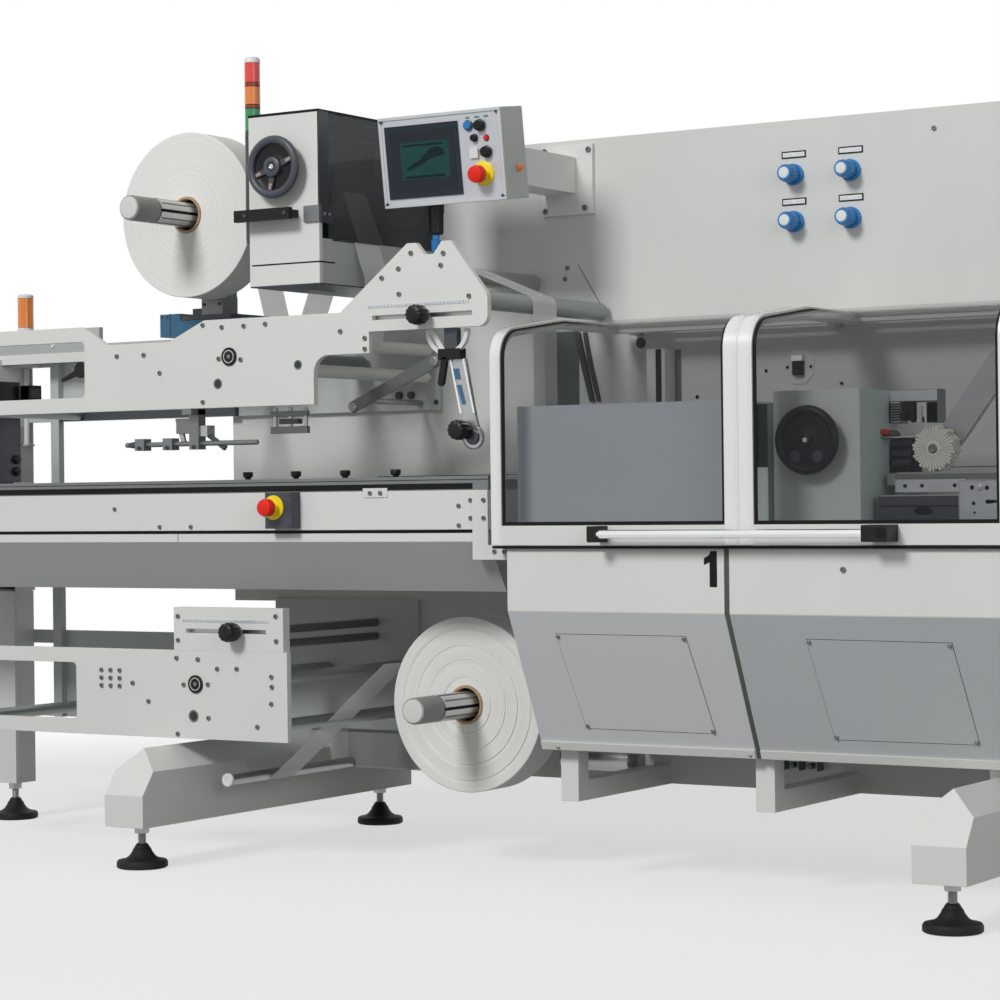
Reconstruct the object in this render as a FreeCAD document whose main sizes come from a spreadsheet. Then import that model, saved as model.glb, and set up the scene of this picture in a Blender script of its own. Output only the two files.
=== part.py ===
import FreeCAD, Part
import math
import os
import Sketcher

# Horizontal form fill seal machine, in millimetres.
# X runs along the machine with the product, Y points to its back and Z up.
# The origin is on the floor, under the middle of the machine.

doc = FreeCAD.newDocument("flow_wrapper")
sheet = doc.addObject("Spreadsheet::Sheet", "sizes")
nodes = {}


class Term:
    """A size together with the sheet expression that gives it."""

    def __init__(self, text, value):
        self.text = text
        self.value = float(value)

    def _join(self, sign, other, value):
        return Term(f"({self.text} {sign} {other.text})", value)

    def __add__(self, other):
        other = term(other)
        return self._join("+", other, self.value + other.value)

    def __radd__(self, other):
        return term(other) + self

    def __sub__(self, other):
        other = term(other)
        return self._join("-", other, self.value - other.value)

    def __rsub__(self, other):
        return term(other) - self

    def __mul__(self, other):
        other = term(other)
        return self._join("*", other, self.value * other.value)

    def __rmul__(self, other):
        return term(other) * self

    def __truediv__(self, other):
        other = term(other)
        return self._join("/", other, self.value / other.value)


def term(value):
    return value if isinstance(value, Term) else Term(repr(float(value)), value)


def size(alias, value, meaning):
    row = size.row
    size.row += 1
    sheet.set(f"A{row}", meaning)
    sheet.set(f"B{row}", str(value))
    sheet.setAlias(f"B{row}", alias)
    return Term(f"sizes.{alias}", value)


size.row = 1

# Overall places along the machine
machine_right = size("machine_right", 1600, "right end of the housing")
infeed_end = size("infeed_end", -1600, "left end of the infeed conveyor")
housing_left = size("housing_left", -750, "left end of the housing")
wall_front = size("wall_front", 185, "front face of the housing wall")
housing_depth = size("housing_depth", 330, "housing from front to back")

# Heights
beam_bottom = size("beam_bottom", 98, "underside of the foot beams")
beam_eave = size("beam_eave", 225, "where the sides of a foot beam start to slope")
beam_ridge = size("beam_ridge", 275, "ridge of a foot beam")
base_bottom = size("base_bottom", 178, "underside of the base cabinet")
base_step = size("base_step", 590, "underside of the raised left end of the base")
base_top = size("base_top", 900, "joint between base cabinet and backboard")
shoulder_top = size("shoulder_top", 1240, "top of the low left end of the backboard")
shoulder_end = size("shoulder_end", -330, "where the backboard rises to full height")
wall_top = size("wall_top", 1687, "top of the backboard")

# Foot beams and levelling feet
beam_half = size("beam_half", 56, "half width of a foot beam")
beam_left_at = size("beam_left_at", -512, "middle of the left foot beam")
beam_right_at = size("beam_right_at", 1496, "middle of the right foot beam")
beam_front = size("beam_front", -545, "front end of the foot beams")
beam_back = size("beam_back", 545, "back end of the foot beams")
beam_lip = size("beam_lip", 172, "top of the upright end face of a foot beam")
beam_nose = size("beam_nose", 75, "length of the sloping nose of a foot beam")
foot_inset = size("foot_inset", 64, "levelling foot from the end of its beam")
pad_radius = size("pad_radius", 60, "levelling foot pad")
pad_rim = size("pad_rim", 18, "thickness of the pad rim")
pad_dome = size("pad_dome", 32, "top of the pad's dome")
pad_taper = size("pad_taper", 0.55, "foot of the dome as a share of the pad")
stem_radius = size("stem_radius", 10, "levelling foot screw")
stem_nut = size("stem_nut", 18, "levelling foot nut, to its corners")
nut_height = size("nut_height", 20, "levelling foot nut")


def place(obj, at, turn=FreeCAD.Rotation()):
    at = [term(value) for value in at]
    obj.Placement = FreeCAD.Placement(FreeCAD.Vector(*[value.value for value in at]), turn)
    for letter, value in zip("xyz", at):
        obj.setExpression(f"Placement.Base.{letter}", value.text)
    return obj


def bind(obj, **properties):
    for name, value in properties.items():
        value = term(value)
        setattr(obj, name, value.value)
        obj.setExpression(name, value.text)
    return obj


ALONG = {
    "x": FreeCAD.Rotation(FreeCAD.Vector(0, 1, 0), 90),
    "y": FreeCAD.Rotation(FreeCAD.Vector(1, 0, 0), -90),
    "z": FreeCAD.Rotation(),
}


def block(low, high):
    """Box between two opposite corners."""
    low = [term(value) for value in low]
    high = [term(value) for value in high]
    box = doc.addObject("Part::Box", "block")
    bind(box, Length=high[0] - low[0], Width=high[1] - low[1], Height=high[2] - low[2])
    return place(box, low)


# Flat sides that stand for a round where nothing turns on it, so that the model stays light
FINE, MEDIUM, COARSE, HEX = 36, 24, 16, 6


def rod(start, along, length, radius, sides=None):
    """Bar from a start point along an axis, round or with that many flat sides."""
    if sides is None:
        bar = doc.addObject("Part::Cylinder", "rod")
        bind(bar, Radius=radius, Height=length)
    else:
        bar = doc.addObject("Part::Prism", "bar")
        bar.Polygon = sides
        bind(bar, Circumradius=radius, Height=length)
    return place(bar, start, ALONG[along])


def tube(start, along, length, radius, bore, sides=None, bore_sides=None):
    """Tube from a start point along an axis."""
    return cut(rod(start, along, length, radius, sides), rod(start, along, length, bore, bore_sides))


def polygon(centre, radius, sides, turn=FreeCAD.Rotation()):
    edge = doc.addObject("Part::RegularPolygon", "polygon")
    edge.Polygon = sides
    bind(edge, Circumradius=radius)
    return place(edge, centre, turn)


def cone(start, height, radius, end_radius, sides):
    """Upright tapered piece with flat sides."""
    x, y, z = start
    loft = doc.addObject("Part::Loft", "cone")
    loft.Sections = [polygon((x, y, z), radius, sides), polygon((x, y, z + height), end_radius, sides)]
    loft.Solid = True
    loft.Ruled = True
    return loft


def ring(centre, radius, thickness):
    """Bar of six-sided section, bent to a full circle about the front-to-back axis."""
    turned = doc.addObject("Part::Revolution", "ring")
    turned.Source = polygon((radius, 0, 0), thickness, HEX, FreeCAD.Rotation(FreeCAD.Vector(1, 0, 0), 90))
    turned.Axis = FreeCAD.Vector(0, 0, 1)
    turned.Angle = 360
    turned.Solid = True
    return place(group(turned), centre, ALONG["y"])


def join(*pieces):
    fused = doc.addObject("Part::MultiFuse", "join")
    fused.Shapes = list(pieces)
    fused.Refine = True
    return fused


def cut(base, *tools):
    result = doc.addObject("Part::Cut", "cut")
    result.Base = base
    result.Tool = tools[0] if len(tools) == 1 else join(*tools)
    result.Refine = True
    return result


def overlap(base, tool):
    result = doc.addObject("Part::Common", "overlap")
    result.Base = base
    result.Tool = tool
    return result


def group(*pieces):
    """Like pieces that don't touch, kept as one sub-part."""
    loose = doc.addObject("Part::Compound", "group")
    loose.Links = list(pieces)
    return loose


PLANES = {"xz": "XZ_Plane", "yz": "YZ_Plane", "xy": "XY_Plane"}


def corner_constraints(sketch, line, point):
    """Ties the start of one line of an outline to its place in the sketch."""
    for kind, axis, value in (("DistanceX", -2, point[0]), ("DistanceY", -1, point[1])):
        if abs(value.value) < 1e-9:
            sketch.addConstraint(Sketcher.Constraint("PointOnObject", line, 1, axis))
        else:
            number = sketch.addConstraint(Sketcher.Constraint(kind, -1, 1, line, 1, value.value))
            sketch.setExpression(f"Constraints[{number}]", value.text)


def profile(plane, at, points, depth, rounds=()):
    """Padded outline. Its points are measured from its own lower left corner.

    rounds lists pairs of a point's number and the radius of that corner.
    """
    at = [term(value) for value in at]
    corners = [(term(x), term(z)) for x, z in points]
    body = doc.addObject("PartDesign::Body", "profile")
    sketch = body.newObject("Sketcher::SketchObject", "outline")
    wanted = PLANES[plane]
    base_plane = [item for item in body.Origin.OriginFeatures if item.Role == wanted][0]
    sketch.AttachmentSupport = [(base_plane, "")]
    sketch.MapMode = "FlatFace"
    flat = [FreeCAD.Vector(x.value, z.value, 0) for x, z in corners]
    count = len(flat)
    for number in range(count):
        sketch.addGeometry(Part.LineSegment(flat[number], flat[(number + 1) % count]), False)
    for number in range(count):
        following = (number + 1) % count
        sketch.addConstraint(Sketcher.Constraint("Coincident", number, 2, following, 1))
    for number in range(count):
        corner_constraints(sketch, number, corners[number])
    pad = body.newObject("PartDesign::Pad", "pad")
    pad.Profile = sketch
    bind(pad, Length=depth)
    pad.Reversed = plane == "xz"
    place(body, at)
    body.Tip = pad
    doc.recompute()
    previous = pad
    for corner, radius in rounds:
        x, z = (value.value for value in corners[corner])
        rounded = body.newObject("PartDesign::Fillet", "round")
        rounded.Base = (previous, [upright_edge(previous, plane, x, z)])
        bind(rounded, Radius=radius)
        body.Tip = rounded
        previous = rounded
        doc.recompute()
    return body


def upright_edge(feature, plane, x, z):
    """Name of the padded edge that stands over one corner of the outline."""
    for number, edge in enumerate(feature.Shape.Edges, 1):
        ends = [vertex.Point for vertex in edge.Vertexes]
        flat = [outline_place(point, plane) for point in ends]
        if len(flat) == 2 and all(math.hypot(px - x, pz - z) < 1e-4 for px, pz in flat):
            return f"Edge{number}"
    raise RuntimeError(f"no edge over corner {x}, {z}")


def outline_place(point, plane):
    if plane == "xz":
        return point.x, point.z
    if plane == "yz":
        return point.y, point.z
    return point.x, point.y


def node(name, obj):
    obj.Label = name
    nodes[name] = obj
    return obj


# Housing: base cabinet below, backboard above, both with their front in the wall plane
base_drop = base_step - base_bottom
base_left = beam_left_at - beam_half - housing_left
housing_length = machine_right - housing_left
node("base_cabinet", profile(
    "xz", (housing_left, wall_front, base_bottom),
    [(base_left, 0), (housing_length, 0), (housing_length, base_top - base_bottom),
     (0, base_top - base_bottom), (0, base_drop), (base_left, base_drop)],
    housing_depth))
backboard = profile(
    "xz", (housing_left, wall_front, base_top),
    [(0, 0), (housing_length, 0), (housing_length, wall_top - base_top),
     (shoulder_end - housing_left, wall_top - base_top),
     (shoulder_end - housing_left, shoulder_top - base_top), (0, shoulder_top - base_top)],
    housing_depth)
column_left = size("column_left", 492, "left side of the upright duct on the backboard")
column_right = size("column_right", 540, "right side of that duct")
column_depth = size("column_depth", 50, "that duct, front to back")
column_top = size("column_top", 1183, "top of that duct")
node("backboard", join(backboard, block((column_left, wall_front - column_depth, base_top),
                                        (column_right, wall_front, column_top))))


def foot_beam(middle):
    """Beam with a roof-shaped top and sloping noses, low where the base stands on it."""
    length = beam_back - beam_front
    section = profile(
        "xz", (middle - beam_half, beam_front, beam_bottom),
        [(0, 0), (2 * beam_half, 0), (2 * beam_half, beam_eave - beam_bottom),
         (beam_half, beam_ridge - beam_bottom), (0, beam_eave - beam_bottom)],
        length)
    side = profile(
        "yz", (middle - beam_half, beam_front, beam_bottom),
        [(0, 0), (length, 0), (length, beam_lip - beam_bottom),
         (length - beam_nose, beam_ridge - beam_bottom),
         (beam_nose, beam_ridge - beam_bottom), (0, beam_lip - beam_bottom)],
        2 * beam_half)
    seat = block((middle - beam_half, wall_front, base_bottom),
                 (middle + beam_half, wall_front + housing_depth, beam_ridge))
    return cut(overlap(section, side), seat)


stand_at = size("stand_at", -1460, "middle of the infeed stand, along the machine")
stand_back = size("stand_back", 132, "middle of the infeed stand, front to back")
foot_rows = [beam_front + foot_inset, beam_back - foot_inset]
foot_spots = [(x, y) for x in (beam_left_at, beam_right_at) for y in foot_rows]
foot_spots.append((stand_at, stand_back))


def levelling_foot(x, y):
    """Domed pad on the floor, with the screw and lock nut that carry the machine."""
    rim = rod((x, y, 0), "z", pad_rim, pad_radius, MEDIUM)
    dome = cone((x, y, pad_rim), pad_dome - pad_rim, pad_radius * pad_taper, stem_nut, MEDIUM)
    screw = rod((x, y, pad_dome), "z", beam_bottom - pad_dome, stem_radius, COARSE)
    nut = rod((x, y, beam_bottom - nut_height), "z", nut_height, stem_nut, HEX)
    return join(rim, dome, screw, nut)


node("foot_beam_left", foot_beam(beam_left_at))
node("foot_beam_right", foot_beam(beam_right_at))
node("levelling_feet", group(*[levelling_foot(x, y) for x, y in foot_spots]))

# Infeed conveyor
conveyor_front = size("conveyor_front", -370, "front face of the conveyor")
conveyor_width = size("conveyor_width", 300, "conveyor from front to back")
conveyor_end = size("conveyor_end", 378, "right end of the conveyor")
conveyor_top = size("conveyor_top", 893, "top of the conveyor rails")
beam_face_top = size("beam_face_top", 862, "top of the conveyor beam")
beam_face_bottom = size("beam_face_bottom", 776, "underside of the conveyor beam")
skirt_top = size("skirt_top", 768, "top of the skirt under the beam")
skirt_lip = size("skirt_lip", 749, "where the skirt starts to slope back")
skirt_bottom = size("skirt_bottom", 638, "underside of the skirt")
skirt_slope = size("skirt_slope", 70, "how far the skirt slopes back")
rail_width = size("rail_width", 32, "conveyor rail")
seam_set_back = size("seam_set_back", 6, "seam between beam and skirt, behind the face")
bed_drop = size("bed_drop", 8, "conveyor bed below the rails")
chain_slot = size("chain_slot", 24, "slot for the pusher chain")
conveyor_back = conveyor_front + conveyor_width
conveyor_length = conveyor_end - infeed_end
bed_middle = (conveyor_front + conveyor_back) / 2
bed_top = conveyor_top - bed_drop


def along_conveyor(front, back, low, high):
    """Bar as long as the conveyor."""
    return block((infeed_end, front, low), (conveyor_end, back, high))


end_plate_left = size("end_plate_left", 338, "left side of the plate at the conveyor's right end")
end_plate_thick = size("end_plate_thick", 4, "that plate, in front of the beam")
end_plate_low = size("end_plate_low", 710, "underside of that plate")
end_tab_high = size("end_tab_high", 742, "top of its tab to the casing")
casing_left = size("casing_left", 446, "left end of the casings")
plate_face = conveyor_front - end_plate_thick
node("conveyor_beam", join(
    along_conveyor(conveyor_front, conveyor_back, beam_face_bottom, beam_face_top),
    block((end_plate_left, plate_face, end_plate_low), (conveyor_end, conveyor_front, beam_face_top)),
    block((conveyor_end, plate_face, end_plate_low), (casing_left, conveyor_front, end_tab_high))))
skirt = profile(
    "yz", (infeed_end, conveyor_front, skirt_bottom),
    [(skirt_slope, 0), (conveyor_width, 0), (conveyor_width, skirt_top - skirt_bottom),
     (0, skirt_top - skirt_bottom), (0, skirt_lip - skirt_bottom)],
    conveyor_length)
seam = along_conveyor(conveyor_front + seam_set_back, conveyor_back, skirt_top, beam_face_bottom)
node("conveyor_skirt", join(skirt, seam))
node("conveyor_rails", group(
    along_conveyor(conveyor_front, conveyor_front + rail_width, beam_face_top, conveyor_top),
    along_conveyor(conveyor_back - rail_width, conveyor_back, beam_face_top, conveyor_top)))
node("conveyor_bed", group(
    along_conveyor(conveyor_front + rail_width, bed_middle - chain_slot / 2, beam_face_top, bed_top),
    along_conveyor(bed_middle + chain_slot / 2, conveyor_back - rail_width, beam_face_top, bed_top)))
rail_knob_first = size("rail_knob_first", -496, "first knob on the back rail")
rail_knob_pitch = size("rail_knob_pitch", 145, "between two knobs on the back rail")
rail_knob_radius = size("rail_knob_radius", 9, "knobs on the back rail")
rail_knob_height = size("rail_knob_height", 20, "knobs on the back rail")
RAIL_KNOBS = 4
node("rail_knobs", group(*[
    rod((rail_knob_first + number * rail_knob_pitch, conveyor_back - rail_width / 2, conveyor_top), "z",
        rail_knob_height, rail_knob_radius, COARSE) for number in range(RAIL_KNOBS)]))

# Infeed stand: a control pedestal under the far end of the conveyor
pedestal_right = size("pedestal_right", -1445, "right side of the pedestal")
pedestal_bottom = size("pedestal_bottom", 610, "underside of the pedestal")
pedestal_top = size("pedestal_top", 1228, "top of the pedestal")
pedestal_half = size("pedestal_half", 70, "half depth of the pedestal")
leg_half = size("leg_half", 38, "half width of the pedestal leg")
arm_height = size("arm_height", 60, "cross arms under the conveyor")
socket_right = size("socket_right", -1415, "right side of the socket box on the pedestal")
socket_deep = size("socket_deep", 50, "socket box, front to back")
socket_low = size("socket_low", 1119, "underside of the socket box")
socket_high = size("socket_high", 1161, "top of the socket box")
beacon_at = size("beacon_at", -1404, "beacon on the pedestal")
beacon_radius = size("beacon_radius", 25, "beacon on the pedestal")
beacon_top = size("beacon_top", 1403, "top of the beacon")
shelf_thick = size("shelf_thick", 20, "shelf under the beacon")
node("infeed_beacon", rod((beacon_at, stand_back, pedestal_top), "z", beacon_top - pedestal_top,
                          beacon_radius, MEDIUM))
node("infeed_stand", join(
    block((pedestal_right, stand_back - beacon_radius, pedestal_top - shelf_thick),
          (beacon_at + beacon_radius, stand_back + beacon_radius, pedestal_top)),
    block((pedestal_right, stand_back + pedestal_half - socket_deep, socket_low),
          (socket_right, stand_back + pedestal_half, socket_high)),
    block((infeed_end, stand_back - pedestal_half, pedestal_bottom),
          (pedestal_right, stand_back + pedestal_half, pedestal_top)),
    block((stand_at - leg_half, stand_back - leg_half, beam_bottom),
          (stand_at + leg_half, stand_back + leg_half, pedestal_bottom))))
stand_arm = block((stand_at - leg_half, conveyor_back, skirt_bottom),
                  (stand_at + leg_half, stand_back - pedestal_half, skirt_bottom + arm_height))
arm_left = size("arm_left", -640, "left cross arm under the conveyor")
arm_middle = size("arm_middle", -150, "middle cross arm under the conveyor")
arm_right = size("arm_right", 260, "right cross arm under the conveyor")
arm_top = skirt_bottom + arm_height
wall_arms = [block((x, conveyor_back, skirt_bottom), (x + arm_height, wall_front, arm_top))
             for x in (arm_left, arm_middle, arm_right)]
node("conveyor_arms", group(stand_arm, *wall_arms))

# Plates that carry the film rollers, one pair above the conveyor and one below
plate_front = size("plate_front", -365, "front face of the film plates")
plate_thickness = size("plate_thickness", 15, "film plates")
plate_left = size("plate_left", -1300, "left end of the film plates")
plate_back = plate_front + plate_thickness
rear_plate_front = wall_front - plate_thickness
upper_bottom = size("upper_bottom", 1061, "underside of the upper plates")
upper_top = size("upper_top", 1265, "top of the upper plates")
upper_dip = size("upper_dip", 1219, "dip in the top of the upper plates")
dip_right = size("dip_right", -405, "right end of the dip, at its rim")
dip_floor_right = size("dip_floor_right", -510, "right end of the dip, at its floor")
dip_floor_left = size("dip_floor_left", -700, "left end of the dip, at its floor")
dip_left = size("dip_left", -778, "left end of the dip, at its rim")
nose_bottom = size("nose_bottom", 1219, "underside of the nose of the upper plate")
nose_step = size("nose_step", 1171, "step under the nose of the upper plate")
body_right = size("body_right", -91, "right end of the deep part of the upper plate")
step_right = size("step_right", 63, "right end of the step")
nose_right = size("nose_right", 378, "right end of the nose")
nose_corner = size("nose_corner", 1288, "where the nose starts to slope")
hump_top = size("hump_top", 1410, "top of the two humps on the nose")
hump_notch = size("hump_notch", 1383, "bottom of the notch between the humps")
hump_half = size("hump_half", 58, "half the distance over both humps")
hump_middle = size("hump_middle", 226, "middle of the notch between the humps")
notch_mouth = size("notch_mouth", 34, "half width of the notch at the top")
notch_floor = size("notch_floor", 12, "half width of the notch at its floor")
saddle_right = size("saddle_right", -16, "where the slope up to the humps starts")
window_left = size("window_left", -1230, "left end of the plate windows")
upper_window_right = size("upper_window_right", -770, "right end of the upper windows")
window_margin = size("window_margin", 35, "plate above and below its window")
step_round = size("step_round", 40, "inner corner under the upper plate")
nose_round = size("nose_round", 24, "lower corner of the nose")
slot_height = size("slot_height", 10, "slots in the film plates")
upper_slot_left = size("upper_slot_left", 72, "left end of the upper slot")
upper_slot_right = size("upper_slot_right", 338, "right end of the upper slot")
upper_slot_at = size("upper_slot_at", 1249, "height of the upper slot")


def window(low_x, high_x, low_z, high_z, front=plate_front):
    """Cutter for a rectangular hole through a film plate."""
    return block((low_x, front - 1, low_z), (high_x, front + plate_thickness + 1, high_z))


def upper_outline():
    """Front plate with its long nose and the two humps on it."""
    heights = [(plate_left, upper_bottom), (body_right, upper_bottom), (body_right, nose_step),
               (step_right, nose_step), (step_right, nose_bottom), (nose_right, nose_bottom),
               (nose_right, nose_corner), (hump_middle + hump_half, hump_top),
               (hump_middle + notch_mouth, hump_top), (hump_middle + notch_floor, hump_notch),
               (hump_middle - notch_floor, hump_notch), (hump_middle - notch_mouth, hump_top),
               (hump_middle - hump_half, hump_top), (saddle_right, upper_top), (dip_right, upper_top),
               (dip_floor_right, upper_dip), (dip_floor_left, upper_dip), (dip_left, upper_top),
               (plate_left, upper_top)]
    return profile("xz", (plate_left, plate_front, upper_bottom),
                   [(x - plate_left, z - upper_bottom) for x, z in heights],
                   plate_thickness, rounds=[(2, step_round), (5, nose_round), (6, nose_round)])


node("upper_front_plate", cut(
    upper_outline(),
    window(window_left, upper_window_right, upper_bottom + window_margin, upper_top - window_margin),
    window(upper_slot_left, upper_slot_right, upper_slot_at - slot_height / 2,
           upper_slot_at + slot_height / 2)))
rear_step = size("rear_step", -740, "right end of the high part of the upper rear plate")
rear_nose_right = size("rear_nose_right", -1181, "right end of the upper rear plate's raised end")
rear_nose_top = size("rear_nose_top", 1308, "top of that end")
rear_window_right = size("rear_window_right", -1345, "right end of the rear plates' windows")
rear_window_top = size("rear_window_top", 1208, "top of the upper rear plate's window")
rear_right = size("rear_right", -105, "right end of the upper rear plate")
rear_heights = [(pedestal_right, upper_bottom), (rear_right, upper_bottom), (rear_right, upper_dip),
                (rear_step, upper_dip), (rear_step, upper_top), (rear_nose_right, upper_top),
                (rear_nose_right, rear_nose_top), (pedestal_right, rear_nose_top)]
node("upper_rear_plate", cut(
    profile("xz", (pedestal_right, rear_plate_front, upper_bottom),
            [(x - pedestal_right, z - upper_bottom) for x, z in rear_heights], plate_thickness),
    window(pedestal_right - 1, rear_window_right, upper_bottom + window_margin, rear_window_top,
           rear_plate_front)))

# Lower film plates
lower_bottom = size("lower_bottom", 290, "underside of the lower plates")
lower_top = size("lower_top", 496, "top of the lower plates")
lower_right = size("lower_right", -176, "right end of the lower plates")
lower_window_right = size("lower_window_right", -807, "right end of the lower windows")
slot_plate_left = size("slot_plate_left", -505, "left end of the slotted plate")
slot_plate_right = size("slot_plate_right", -186, "right end of the slotted plate")
slot_plate_lap = size("slot_plate_lap", 40, "slotted plate behind the lower plate")
slot_plate_back = size("slot_plate_back", 10, "thickness of that lap")
lower_slot_left = size("lower_slot_left", -469, "left end of the lower slot")
lower_slot_right = size("lower_slot_right", -235, "right end of the lower slot")
lower_slot_at = size("lower_slot_at", 542, "height of the lower slot")


node("lower_front_plate", cut(
    block((plate_left, plate_front, lower_bottom), (lower_right, plate_back, lower_top)),
    window(window_left, lower_window_right, lower_bottom + window_margin, lower_top - window_margin)))
slot_plate_top = size("slot_plate_top", 597, "top of the slotted plate")
lower_rear_top = size("lower_rear_top", 505, "top of the lower rear plate, which stands on the foot beam")
lower_rail_height = size("lower_rail_height", 25, "lower rear plate below its window")
rear_riser_left = size("rear_riser_left", -610, "left end of the high part of the lower rear plate")
lower_rear_heights = [(pedestal_right, beam_ridge), (lower_right, beam_ridge),
                      (lower_right, slot_plate_top), (rear_riser_left, slot_plate_top),
                      (rear_riser_left, lower_rear_top), (pedestal_right, lower_rear_top)]
node("lower_rear_plate", cut(
    profile("xz", (pedestal_right, rear_plate_front, beam_ridge),
            [(x - pedestal_right, z - beam_ridge) for x, z in lower_rear_heights], plate_thickness),
    window(pedestal_right - 1, rear_window_right, beam_ridge + lower_rail_height,
           lower_rear_top - window_margin, rear_plate_front)))
slot_plate = join(
    block((slot_plate_left, plate_front, lower_top), (slot_plate_right, plate_back, slot_plate_top)),
    block((slot_plate_left, plate_back, lower_top - slot_plate_lap),
          (slot_plate_right, plate_back + slot_plate_back, slot_plate_top)))
slot_tool = block((lower_slot_left, plate_front - 1, lower_slot_at - slot_height / 2),
                  (lower_slot_right, plate_back + slot_plate_back + 1, lower_slot_at + slot_height / 2))
node("slotted_plate", cut(slot_plate, slot_tool))

# Rollers and bars between the film plates
roller_length = rear_plate_front - plate_back
drive_radius = size("drive_radius", 24, "driven film rollers")
idler_radius = size("idler_radius", 15, "idler rollers and tie bars")
bearing_radius = size("bearing_radius", 21, "bearing caps on the film plates")
bearing_bore = size("bearing_bore", 11, "recess for the shaft end in a bearing cap")
bearing_proud = size("bearing_proud", 5, "bearing caps in front of the plates")
tie_inset = size("tie_inset", 60, "end tie bars from the left end of the plates")
upper_drive_at = size("upper_drive_at", -331, "upper drive roller")
upper_drive_high = size("upper_drive_high", 1178, "its height")
lower_drive_at = size("lower_drive_at", -441, "lower drive roller")
lower_drive_high = size("lower_drive_high", 418, "its height")
tie_at = plate_left + tie_inset


def cross_bar(x, z, radius=idler_radius):
    return rod((x, plate_back, z), "y", roller_length, radius, MEDIUM)


def bearing_cap(x, z):
    return tube((x, plate_front - bearing_proud, z), "y", bearing_proud, bearing_radius, bearing_bore,
                MEDIUM, MEDIUM)


film_idler_at = size("film_idler_at", -135, "idler beside the upper drive roller")
film_idler_high = size("film_idler_high", 1140, "its height")
splice_bar_at = size("splice_bar_at", -620, "tie bar under the upper reel")
splice_bar_high = size("splice_bar_high", 1150, "its height")
nose_idler_at = size("nose_idler_at", -128, "idler at the root of the nose")
nose_idler_high = size("nose_idler_high", 1205, "its height")
low_idler_at = size("low_idler_at", -225, "lower idler at the right end of the lower plates")
low_idler_high = size("low_idler_high", 325, "its height")
high_idler_at = size("high_idler_at", -225, "upper idler at the right end of the lower plates")
high_idler_high = size("high_idler_high", 434, "its height")
brake_bar_at = size("brake_bar_at", -640, "tie bar beside the lower window")
brake_bar_high = size("brake_bar_high", 390, "its height")
guide_first_at = size("guide_first_at", 168, "guide roller by the first hump")
guide_first_high = size("guide_first_high", 1352, "its height")
guide_second_at = size("guide_second_at", 350, "guide roller at the nose")
guide_second_high = size("guide_second_high", 1277, "its height")
upper_bars = [cross_bar(film_idler_at, film_idler_high), cross_bar(splice_bar_at, splice_bar_high),
              cross_bar(nose_idler_at, nose_idler_high),
              cross_bar(tie_at, upper_bottom + window_margin / 2)]
node("upper_rollers", group(cross_bar(upper_drive_at, upper_drive_high, drive_radius),
                            bearing_cap(upper_drive_at, upper_drive_high), *upper_bars))
lower_bars = [cross_bar(low_idler_at, low_idler_high), cross_bar(high_idler_at, high_idler_high),
              cross_bar(brake_bar_at, brake_bar_high), cross_bar(tie_at, lower_bottom + window_margin / 2)]
node("lower_rollers", group(cross_bar(lower_drive_at, lower_drive_high, drive_radius),
                            bearing_cap(lower_drive_at, lower_drive_high), *lower_bars))
guide_radius = size("guide_radius", 21, "guide rollers")
guide_gap = size("guide_gap", 40, "guide roller end from the wall")
guide_shaft = size("guide_shaft", 9, "guide roller shaft")


def guide_roller(x, z):
    barrel = rod((x, plate_back, z), "y", wall_front - guide_gap - plate_back, guide_radius, MEDIUM)
    return join(barrel, rod((x, wall_front - guide_gap, z), "y", guide_gap, guide_shaft, COARSE))


node("guide_rollers", group(guide_roller(guide_first_at, guide_first_high),
                            guide_roller(guide_second_at, guide_second_high)))
tie_post_at = size("tie_post_at", -1336, "left side of the post in front of the rear plates")
tie_post_width = size("tie_post_width", 28, "that post, along the machine")
tie_post_deep = size("tie_post_deep", 20, "that post, front to back")
node("rear_post", block((tie_post_at, rear_plate_front - tie_post_deep, beam_ridge),
                        (tie_post_at + tie_post_width, rear_plate_front, upper_top)))

# Sliding adjusters in the slots
knob_radius = size("knob_radius", 23, "adjusting knobs")
knob_length = size("knob_length", 42, "adjusting knobs")
knob_gap = size("knob_gap", 6, "knob from its plate")
slot_play = size("slot_play", 0.1, "play of the adjuster in its slot")
pin_behind = size("pin_behind", 12, "adjuster pin behind its plate")
upper_knob_at = size("upper_knob_at", 212, "adjusting knob on the upper plate")
lower_knob_at = size("lower_knob_at", -319, "adjusting knob on the slotted plate")


def adjuster(x, z, thickness):
    """Knob with the pin that slides in a slot."""
    knob = rod((x, plate_front - knob_gap - knob_length, z), "y", knob_length, knob_radius, MEDIUM)
    pin = rod((x, plate_front - knob_gap, z), "y", knob_gap + thickness + pin_behind,
              slot_height / 2 - slot_play, COARSE)
    return join(knob, pin)


node("upper_slot_knob", adjuster(upper_knob_at, upper_slot_at, plate_thickness))
node("lower_slot_knob", adjuster(lower_knob_at, lower_slot_at, plate_thickness + slot_plate_back))

# Film reels on cantilevered mandrels
film_front = size("film_front", -165, "front edge of the film")
film_width = size("film_width", 100, "width of the film")
reel_radius = size("reel_radius", 200, "full film roll")
core_radius = size("core_radius", 44, "outside of the cardboard core")
core_wall = size("core_wall", 6, "cardboard core")
core_proud = size("core_proud", 4, "core in front of the film roll")
mandrel_radius = size("mandrel_radius", 27, "mandrel in front of the roll")
mandrel_tip = size("mandrel_tip", -384, "front end of the mandrels")
sleeve_length = size("sleeve_length", 55, "sleeve at the front of a mandrel")
sleeve_wall = size("sleeve_wall", 3, "sleeve at the front of a mandrel")
fit_gap = size("fit_gap", 0.3, "gap between roll, core and mandrel")
shaft_radius = size("shaft_radius", 16, "mandrel shaft behind the roll")
shaft_play = size("shaft_play", 0.05, "play of a shaft in its bearing")
hub_radius = size("hub_radius", 40, "bearing hub of a mandrel")
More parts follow.
